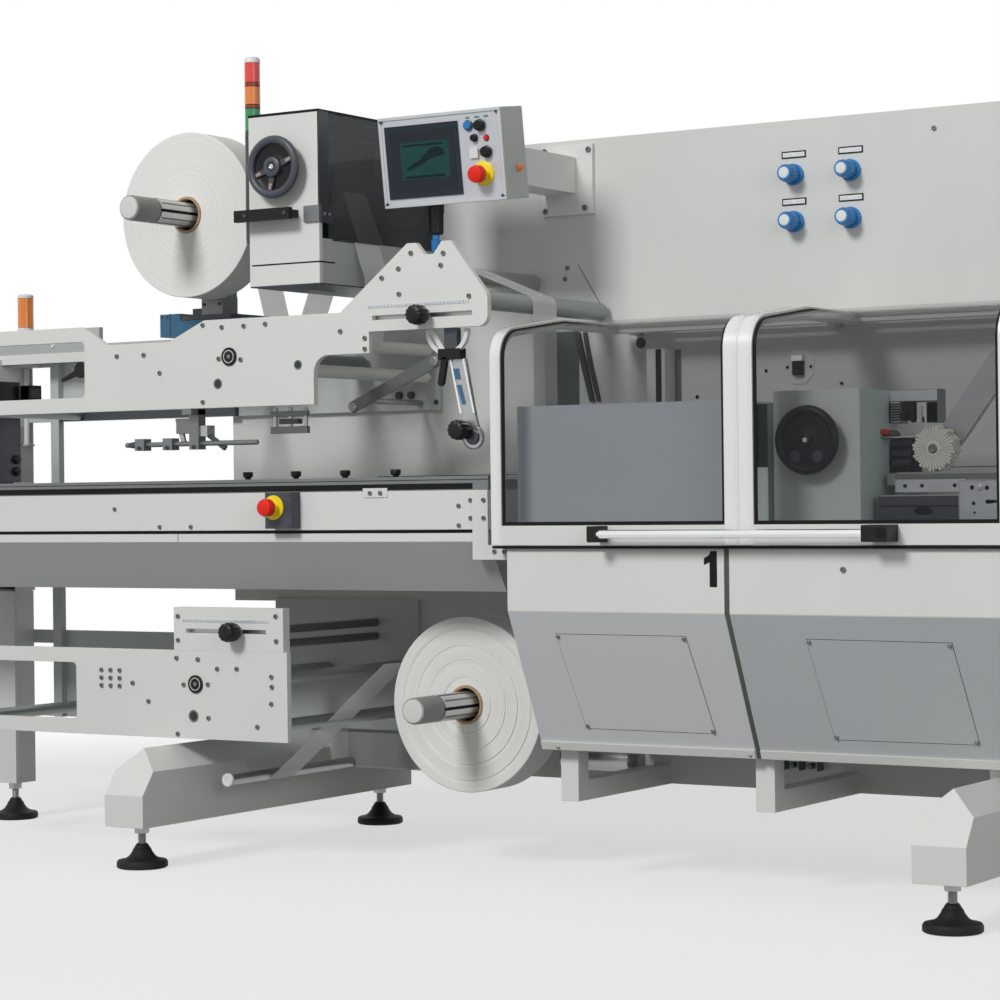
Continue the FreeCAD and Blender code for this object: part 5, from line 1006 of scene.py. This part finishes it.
# Conveyor: dark rail slots, seam, beam screws and knobs on the back rail
BEAM_FACE, RAIL_TOP = -0.370, 0.893
strips = Shape()
strips.boxes(
    ((-1.598, BEAM_FACE - 0.0006, 0.8645), (0.337, BEAM_FACE, 0.8775)),
    ((-1.598, BEAM_FACE - 0.0006, 0.8845), (0.377, BEAM_FACE, 0.8860)),
    ((-1.598, BEAM_FACE + 0.0052, 0.7685), (0.338, BEAM_FACE + 0.0062, 0.7755)),
    ((-0.4857, BEAM_FACE - 0.0006, 0.750), (-0.4843, BEAM_FACE, 0.768)))
strips.finish("conveyor_dark_lines", "dark_paint", plain_black)
lip = Shape()
lip.boxes(
    ((-1.599, BEAM_FACE - 0.0004, 0.7492), (-0.4857, BEAM_FACE, 0.7682)),
    ((-0.4843, BEAM_FACE - 0.0004, 0.7492), (0.337, BEAM_FACE, 0.7682)),
    ((0.046, BEAM_FACE - 0.0020, 0.8480), (0.112, BEAM_FACE, 0.8690)))
lip.finish("conveyor_lip", "light_grey_paint", white_paint)
screws("beam_screws", [(x, BEAM_FACE, z) for x, z in ((-0.676, 0.828), (-0.539, 0.785), (-0.446, 0.785),
                                                      (0.301, 0.828), (0.301, 0.785), (0.332, 0.840),
                                                      (0.332, 0.801))]
       + [(x, BEAM_FACE - 0.002, 0.858) for x in (0.066, 0.094)]
       + [(x, BEAM_FACE - 0.004, z) for x, z in ((0.368, 0.840), (0.368, 0.801),
                                                 (0.395, 0.728), (0.420, 0.728))], radius=0.005)
knobs = Shape()
for n in range(4):
    knobs.turned((-0.496 + 0.145 * n, -0.086, RAIL_TOP), "z", [
        (0, 0.006), (0.007, 0.007), (0.009, 0.0115), (0.018, 0.0125), (0.021, 0.0110)], 40, lobes=8,
                 depth=0.05)
knobs.finish("back_rail_knobs", "black_plastic", black_plastic, replaces=["rail_knobs"])

# Emergency stop on the conveyor
stop = Shape()
stop.box((-0.203, -0.405, 0.780), (-0.129, BEAM_FACE, 0.862))
for x, z in ((-0.196, 0.787), (-0.136, 0.787), (-0.196, 0.855), (-0.136, 0.855)):
    stop.screw((x, -0.405, z), 0.004, 0.0015, kind=3)
emergency_stop(stop, (-0.178, -0.405, 0.828), 1, 2)
stop.finish("conveyor_stop_button", "dark_paint", grey_plastic, yellow_plastic, red_plastic, dark_steel,
            bevel=0.002, replaces=["estop_station"])

# Sealing section behind the guard
brush = Shape()
BRUSH = (1.323, -0.150, 0.935)
TUFTS, TUFT_ROWS = 36, 5
for n in range(TUFTS):
    for row in range(TUFT_ROWS):
        angle = 2 * math.pi * (n + row * 0.4) / TUFTS
        reach = 0.0440 + 0.0025 * math.sin(n * 2.1 + row)
        spot = Vector(BRUSH) + Vector((0, 0.009 * row, 0))
        tuft = Shape(Matrix.Translation(spot) @ Matrix.Rotation(angle, 4, "Y"))
        tuft.slab([(0.014, -0.0008), (reach * 0.7, -0.0022), (reach, -0.0029), (reach + 0.0006, 0.0004),
                   (reach, 0.0029), (reach * 0.7, 0.0022), (0.014, 0.0008)], "y", 0.0005, 0.0075)
        brush.include(tuft)
brush.turned(BRUSH, "y", [(0.0005, 0.004), (-0.0005, 0.014), (0.0015, 0.0165), (0.0440, 0.0165)], 36)
brush.turned(BRUSH, "y", [(-0.0020, 0.003), (-0.0030, 0.0070), (-0.0010, 0.0100), (0.047, 0.0100)], 28,
             kind=1)
brush.slab([(1.303, 0.915), (1.343, 0.915), (1.478, 1.095), (1.478, 1.135), (1.438, 1.135), (1.303, 0.955)],
           "y", -0.105, -0.090, kind=2)
brush.turned((1.458, -0.112, 1.115), "y", [(0, 0.012), (0.007, 0.012), (0.007, 0.008), (0.297, 0.008)], 24,
             kind=1)
brush.finish("brush_tufts_and_arm", "white_bristle", bristle, dull_steel, steel, replaces=["brush_wheel"])

jaws = Shape()
JAW_SIDE, CARRIAGE_FACE = 1.205, -0.104
# The first sheet, on the jaw housing's right side, is painted light: brighter than the lamps make that side
jaws.boxes(
    ((JAW_SIDE, -0.249, 0.786), (JAW_SIDE + 0.0008, -0.106, 1.058), 4),
    ((1.206, CARRIAGE_FACE - 0.0015, 1.036), (1.314, CARRIAGE_FACE, 1.0585), 5))
for n in range(7):
    jaws.box((1.207, CARRIAGE_FACE - 0.005, 0.996 + 0.0055 * n), (1.2295, CARRIAGE_FACE, 0.9985 + 0.0055 * n),
             kind=1)
jaws.boxes(
    ((1.2095, CARRIAGE_FACE - 0.0008, 0.9915), (1.2290, CARRIAGE_FACE, 1.0345), 5),
    ((1.232, CARRIAGE_FACE + 0.004, 0.9950), (1.314, CARRIAGE_FACE + 0.010, 1.036), 1),
    ((1.258, CARRIAGE_FACE - 0.006, 0.9910), (1.264, CARRIAGE_FACE + 0.006, 1.0345), 1),
    ((1.268, CARRIAGE_FACE, 0.9905), (1.3145, CARRIAGE_FACE + 0.008, 1.0330), 5),
    ((1.278, CARRIAGE_FACE - 0.003, 0.9910), (1.281, CARRIAGE_FACE, 1.0250), 2),
    ((1.2825, CARRIAGE_FACE - 0.004, 0.9910), (1.2845, CARRIAGE_FACE, 1.0020), 1))
for x, z in ((1.245, 1.016), (1.237, 1.006)):
    jaws.turned((x, CARRIAGE_FACE - 0.004, z), "y", [(0.012, 0.007), (0.001, 0.007), (0, 0.005)], 20, kind=1)
jaws.turned((JAW_SIDE, -0.145, 0.972), "x", [(0, 0.0055), (0.016, 0.0055), (0.019, 0.003)], 20, kind=3)
jaws.turned((JAW_SIDE, -0.150, 0.960), "x", [(0, 0.0022), (0.084, 0.0022)], 14, kind=2)
jaws.turned((JAW_SIDE, -0.130, 0.966), "x", [(0, 0.010), (0.028, 0.009), (0.036, 0.004)], 20)
jaws.box((JAW_SIDE, -0.098, 0.888), (1.262, -0.066, 0.962), kind=1)
for z in (0.902, 0.922, 0.942):
    jaws.box((JAW_SIDE, -0.102, z), (1.252, -0.098, z + 0.012))
jaws.finish("jaw_works", "dark_paint", dark_steel, plain_black, steel, red_plastic, jaw_side_painted_light, zinc,
            bevel=0.0008)

drive = Shape()
drive.boxes(
    ((1.222, -0.2012, 0.737), (1.399, -0.200, 0.838)),
    ((1.222, -0.2018, 0.816), (1.399, -0.2012, 0.819), 1))
drive.slab(oval(1.323, 0.8075, 0.021, 0.0085, 18), "y", -0.2024, -0.2012, kind=1)
drive.boxes(
    ((1.240, -0.1545, 0.8460), (1.398, -0.150, 0.8720), 2),
    ((1.240, -0.1560, 0.8735), (1.588, -0.150, 0.8840), 3))
for x in (1.262, 1.300, 1.372):
    drive.screw((x, -0.1545, 0.859), 0.004, 0.002, kind=1)
drive.finish("outfeed_drive_cover", "dark_paint", dark_paint, plain_black, zinc, dull_steel, bevel=0.0008)

# Outfeed bracket with its holes and slots
bracket = Shape()
BRACKET_FACE = -0.200
bracket.slab([(1.402, 0.866), (1.588, 0.866), (1.588, 0.745), (1.402, 0.745)], "y", BRACKET_FACE - 0.0010,
             BRACKET_FACE)
for x, z, radius in ((1.429, 0.854, 0.0048), (1.461, 0.853, 0.0048), (1.502, 0.854, 0.0048),
                     (1.545, 0.853, 0.0048), (1.432, 0.822, 0.0040), (1.434, 0.803, 0.0026),
                     (1.520, 0.803, 0.0026)):
    bracket.turned((x, BRACKET_FACE - 0.001, z), "y", [(0, radius), (-0.0005, radius * 0.95)], 18, kind=1)
for left, right in ((1.462, 1.492), (1.528, 1.558)):
    ends = arc(right, 0.825, 0.0045, -90, 90, 6)
    bracket.slab(ends + [(left + right - x, z) for x, z in ends], "y", BRACKET_FACE - 0.0014,
                 BRACKET_FACE - 0.0010, kind=1)
bracket.turned((1.446, BRACKET_FACE - 0.001, 0.8535), "y", [(0, 0.006), (-0.0030, 0.006), (-0.0036, 0.004)],
               20)
bracket.box((1.402, BRACKET_FACE + 0.004, 0.8605), (1.588, -0.151, 0.862))
bracket.finish("perforated_bracket", "steel", zinc, plain_black)

# Bars, ducts and dark sheets behind the guard's left window. The two end_shade sheets are painted shade on
# the forming cover's right end and on the strip beside it
inside = Shape()
inside.box((0.517, 0.1330, 0.902), (0.531, 0.1350, 1.182), kind=1)
inside.slab([(0.276, 1.232), (0.288, 1.232), (0.302, 1.170), (0.326, 1.068), (0.316, 1.068), (0.292, 1.160)],
            "y", 0.173, WALL)
inside.slab([(0.298, 1.232), (0.306, 1.232), (0.318, 1.170), (0.342, 1.068), (0.334, 1.068), (0.310, 1.160)],
            "y", 0.176, WALL)
inside.boxes(
    ((0.188, WALL - 0.0012, 0.905), (0.282, WALL, 1.236), 4),
    ((0.540, WALL - 0.0008, 0.905), (0.556, WALL, 1.182), 3),
    # Painted shade: dark sheets on the forming cover's shaded right end and on the front of the strip beside
    # it
    ((0.9302, -0.328, 0.902), (0.9312, -0.062, 1.040), 2),
    ((0.9450, -0.2408, 0.902), (0.9900, -0.2400, 1.0350), 2))
inside.finish("forming_section_works", "dark_paint", hole_shade, plain_black, end_shade, dull_steel,
              shade_green)

# Reel motor and the stand and gear case of the upper reel
motor = Shape()
motor.boxes(
    ((-0.788, -0.057, 1.254), (-0.723, 0.023, 1.311)),
    ((-0.757, -0.0580, 1.256), (-0.754, 0.0235, 1.3115), 1))
for x in (-0.782, -0.764):
    motor.screw((x, -0.057, 1.304), 0.003, 0.002, kind=1, sides=12)
motor.finish("reel_motor_case", "blue_plastic", motor_blue, dark_steel, bevel=0.002,
             replaces=["reel_motor"])
stand_top = Shape()
stand_top.boxes(
    ((-0.723, -0.057, 1.219), (-0.503, WALL, 1.293)),
    ((-0.723, -0.057, 1.219), (-0.503, 0.350, 1.221)),
    ((-0.723, WALL, 1.266), (-0.503, 0.350, 1.293)),
    ((-0.720, -0.0575, 1.2935), (-0.566, 0.120, 1.3050), 1),
    ((-0.686, -0.0550, 1.3050), (-0.652, -0.010, 1.3210), 1),
    ((-0.656, -0.0570, 1.3050), (-0.590, 0.003, 1.3490), 2),
    ((-0.642, -0.0570, 1.3490), (-0.592, 0.003, 1.5750), 2))
stand_top.turned((-0.613, -0.057, 1.540), "y", [(0, 0.030), (0.002, 0.034), (0.060, 0.034)], 40, kind=2)
for x in (-0.648, -0.600):
    stand_top.screw((x, -0.057, 1.330), 0.004, 0.003, kind=1)
stand_top.finish("reel_stand_and_gear_case", "steel", motor_blue, dark_paint, dull_steel, bevel=0.0015,
                 replaces=["upper_reel_stand"])
# Valves and a lying cylinder under the casings
valves = Shape()
for x in (0.810, 0.850, 0.895):
    valves.box((x - 0.012, 0.150, 0.225), (x + 0.012, WALL, 0.252), kind=1)
    valves.turned((x, 0.150, 0.238), "y", [(0, 0.007), (-0.012, 0.007), (-0.014, 0.005)], 20)
valves.turned((0.272, 0.110, 0.235), "x", [(0, 0.020), (0.004, 0.026), (0.185, 0.026), (0.189, 0.020)], 36,
              kind=2)
for x in (0.300, 0.430):
    valves.box((x, 0.110, 0.215), (x + 0.016, WALL, 0.255), kind=2)
valves.finish("air_valves", "steel", dark_steel, dull_steel, steel, bevel=0.001)
# Operator's side of the infeed stand, its rail and its duct
stand = Shape()
STAND_FACE, STAND_SIDE = 0.062, -1.445
stand.boxes(
    ((-1.592, STAND_FACE - 0.003, 0.930), (-1.452, STAND_FACE, 1.205)),
    ((-1.584, STAND_FACE - 0.005, 1.120), (-1.460, STAND_FACE - 0.003, 1.195), 1))
for n in range(3):
    stand.turned((-1.566 + 0.040 * n, STAND_FACE - 0.003, 1.080), "y", [(0, 0.011), (-0.006, 0.011),
                                                                       (-0.008, 0.008)], 24, kind=2)
stand.turned((-1.478, STAND_FACE - 0.003, 0.985), "y", [(0, 0.014), (-0.012, 0.013), (-0.014, 0.009)], 24,
             kind=2)
stand.boxes(
    ((STAND_SIDE, 0.064, 0.615), (STAND_SIDE + 0.0015, 0.150, 1.170)),
    ((STAND_SIDE, 0.066, 1.120), (STAND_SIDE + 0.0030, 0.140, 1.168), 2),
    ((STAND_SIDE, 0.150, 0.650), (STAND_SIDE + 0.0012, 0.200, 1.050), 4))
for z in (0.930, 0.962):
    stand.turned((STAND_SIDE + 0.0015, 0.130, z), "x", [(0, 0.012), (0.008, 0.012), (0.014, 0.007)], 24,
                 kind=2)
for y, radius, kind in ((0.168, 0.0075, 5), (0.184, 0.0065, 4)):
    stand.turned((STAND_SIDE + 0.0080, y, 1.000), "z", [(0, radius - 0.001), (0.001, radius), (0.205, radius),
                                                        (0.206, radius - 0.0015)], 24, kind=kind)
stand.boxes(
    ((STAND_SIDE, 0.160, 0.998), (STAND_SIDE + 0.014, 0.192, 1.004), 4),
    ((STAND_SIDE, 0.152, 1.119), (-1.4142, 0.2022, 1.1612), 3),
    ((-1.4150, 0.160, 1.128), (-1.4136, 0.194, 1.152), 1),
    ((-1.425, 0.100, 0.900), (-1.4215, 0.164, 0.110), 5))
stand.finish("infeed_stand_controls", "dark_paint", grey_plastic, bezel_slate, black_plastic, plain_black,
             grey_paint, white_paint, bevel=0.0012)
# The rail's upper band in grey paint is painted shade above its white lower lip
rail = Shape()
rail.boxes(
    ((-1.600, 0.085, 1.238), (-1.152, 0.100, 1.272)),
    ((-1.600, 0.083, 1.213), (-1.152, 0.100, 1.238), 1),
    ((-1.600, 0.0828, 1.2105), (-1.152, 0.086, 1.213), 2),
    ((-1.180, 0.100, 1.222), (-1.152, 0.170, 1.262)))
rail.screw((-1.268, 0.085, 1.259), 0.006, 0.003, kind=1, sides=16)
rail.box((-1.340, 0.155, 1.0612), (-0.720, 0.1698, 1.0860), kind=2)
rail.finish("infeed_rail_and_duct", "steel", grey_paint, white_paint, dark_paint, bevel=0.001)

# Wing lever, nip release lever, dancer bar and sensor brackets by the upper film plates
wing = Shape()
WING = (-0.797, -0.350, 1.164)
wing.turned(WING, "y", [(0, 0.020), (0.014, 0.020), (0.018, 0.016)], 32)
arm = Shape(Matrix.Translation(WING) @ Matrix.Rotation(math.radians(-20), 4, "Y"))
arm.slab([(0, -0.010), (-0.050, -0.006), (-0.070, -0.004), (-0.070, 0.004), (-0.050, 0.006), (0, 0.010)], "y",
         0.006, 0.015)
wing.include(arm)
wing.finish("wing_lever", "black_plastic", black_plastic, bevel=0.002)

lever = Shape()
RING = (0.261, 1.215)
lever.slab(arc(*RING, 0.056, 178, 362, 28) + arc(*RING, 0.046, 362, 178, 28), "y", -0.350, -0.338, kind=3)
lever.slab([(0.208, 1.219), (0.222, 1.219), (0.256, 1.172), (0.246, 1.166)], "y", -0.349, -0.342, kind=3)
lever.boxes(
    ((0.238, -0.352, 1.150), (0.296, -0.326, 1.174), 2),
    ((0.252, -0.348, 1.172), (0.286, -0.330, 1.219), 4))
lever.slab([(0.247, 1.156), (0.262, 1.156), (0.252, 1.098), (0.247, 1.092), (0.240, 1.092), (0.236, 1.098)],
           "y", -0.352, -0.342, kind=2)
lever.slab([(0.262, 1.152), (0.302, 1.152), (0.328, 1.020), (0.338, 0.985), (0.300, 0.985), (0.292, 1.020)],
           "y", -0.340, -0.330)
lever.slab([(0.269, 1.130), (0.286, 1.130), (0.290, 1.106), (0.275, 1.106)], "y", -0.342, -0.340, kind=1)
lever.slab([(0.281, 1.094), (0.292, 1.094), (0.303, 1.050), (0.294, 1.050)], "y", -0.342, -0.340, kind=1)
for left, right in ((0.262, 0.267), (0.296, 0.301)):
    lever.slab([(left, 1.152), (right, 1.152), (right + 0.027, 1.030), (left + 0.027, 1.030)], "y", -0.344,
               -0.340, kind=5)
lever.turned((0.319, -0.338, 0.978), "y", [(0, 0.024), (-0.002, 0.027), (0.006, 0.027), (0.008, 0.024)], 40)
lever.turned((0.319, -0.340, 0.978), "y", [(0, 0.017), (-0.003, 0.016), (-0.004, 0.010)], 32, kind=4)
fluted_knob(lever, (0.300, -0.384, 0.994), 0.044, kind=2)
lever.finish("nip_release_lever", "steel", steel, motor_blue, black_plastic, white_paint, dark_steel,
             chrome, bevel=0.0012)

dancer = Shape()
dancer.slab([(-0.200, 1.075), (0.040, 1.180), (0.056, 1.172), (0.052, 1.152), (-0.190, 1.050),
             (-0.204, 1.060)], "y", -0.074, -0.066)
for x, z, radius in ((0.043, 1.164, 0.012), (-0.190, 1.064, 0.011)):
    dancer.turned((x, -0.080, z), "y", [(0, radius - 0.002), (0.002, radius), (0.018, radius)], 28, kind=1)
dancer.turned((-0.160, -0.066, 1.078), "y", [(0, 0.0075), (0.236, 0.0075)], 24, kind=1)
for x in (-0.221, -0.185):
    dancer.turned((x, 0.170, 1.098), "y", [(0, 0.009), (-0.010, 0.009), (-0.012, 0.006)], 24, kind=2)
dancer.screw((-0.114, 0.170, 1.079), 0.006, 0.004, kind=2, sides=16)
dancer.finish("dancer_bar", "steel", dull_steel, steel, dark_steel, bevel=0.001)

cluster = Shape()
cluster.boxes(
    ((-0.520, -0.330, 1.004), (-0.455, -0.308, 1.040)),
    ((-0.472, -0.334, 0.996), (-0.424, -0.304, 1.022), 1))
cluster.slab([(-0.530, 1.040), (-0.515, 1.040), (-0.500, 0.985), (-0.512, 0.985)], "y", -0.322, -0.314,
             kind=1)
cluster.slab([(-0.440, 1.000), (-0.428, 1.004), (-0.376, 0.972), (-0.384, 0.962)], "y", -0.324, -0.316,
             kind=2)
cluster.boxes(
    ((-0.296, -0.258, 1.000), (-0.190, -0.246, 1.016)),
    ((-0.296, -0.258, 1.040), (-0.190, -0.246, 1.052)))
for x in (-0.290, -0.246, -0.202):
    cluster.box((x, -0.256, 1.000), (x + 0.009, -0.248, 1.061), kind=1)
cluster.box((-0.268, -0.262, 1.022), (-0.214, -0.242, 1.034), kind=2)
cluster.finish("sensor_brackets", "steel", dull_steel, steel, dark_steel, bevel=0.001)

# Service doors with cut corners, quarter-turn locks and vent slats on the back
BACK, DOOR_CUT = 0.515, 0.006
SLATS, SLAT_STEP, SLAT_LENGTH = 8, 0.016, 0.200
DOORS = [(left, low, right, high) for low, high in ((0.925, 1.655), (0.225, 0.875))
         for left, right in ((-0.270, 0.335), (0.350, 0.955), (0.970, 1.575))] + [(-0.725, 0.925, -0.290,
                                                                                   1.215)]
back = Shape()
for left, low, right, high in DOORS:
    back.slab([(left + DOOR_CUT, low), (right - DOOR_CUT, low), (right, low + DOOR_CUT),
               (right, high - DOOR_CUT), (right - DOOR_CUT, high), (left + DOOR_CUT, high),
               (left, high - DOOR_CUT), (left, low + DOOR_CUT)], "y", BACK, BACK + 0.0020)
    for z in (low + (high - low) * 0.25, low + (high - low) * 0.75):
        back.turned((left + 0.030, BACK + 0.0065, z), "y", [(0, 0.010), (0, 0.0130), (-0.003, 0.0140),
                                                            (-0.0048, 0.0140)], 28, kind=1)
        back.box((left + 0.028, BACK + 0.0060, z - 0.008), (left + 0.032, BACK + 0.0068, z + 0.008), kind=2)
for left in (-0.070, 0.550, 1.170):
    for n in range(SLATS):
        rise = SLAT_STEP * n
        back.box((left, BACK + 0.0018, 0.300 + rise), (left + SLAT_LENGTH, BACK + 0.0024, 0.304 + rise),
                 kind=2)
        back.slab([(BACK + 0.0020, 0.3035 + rise), (BACK + 0.0065, 0.3035 + rise),
                   (BACK + 0.0020, 0.3095 + rise)], "x", left - 0.003, left + 0.203)
back.finish("back_doors", "light_grey_paint", wall_paint, steel, plain_black)

# Bars and latch under the conveyor
low_bars = Shape()
for z in (0.541, 0.507):
    low_bars.turned((-0.300, -0.300, z), "y", round_bar(0.470, 0.010), 28)
low_bars.box((-0.329, WALL - 0.010, 0.528), (-0.305, WALL, 0.562), kind=1)
low_bars.screw((-0.231, WALL, 0.524), 0.004, 0.003, kind=1)
# The grey sheet low on the back face, below the lower plate, is painted shade
low_bars.box((-0.400, WALL - 0.0010, 0.182), (-0.126, WALL, 0.282), kind=2)
low_bars.finish("lower_bars_and_latch", "steel", dull_steel, plain_black, grey_paint, bevel=0.001)
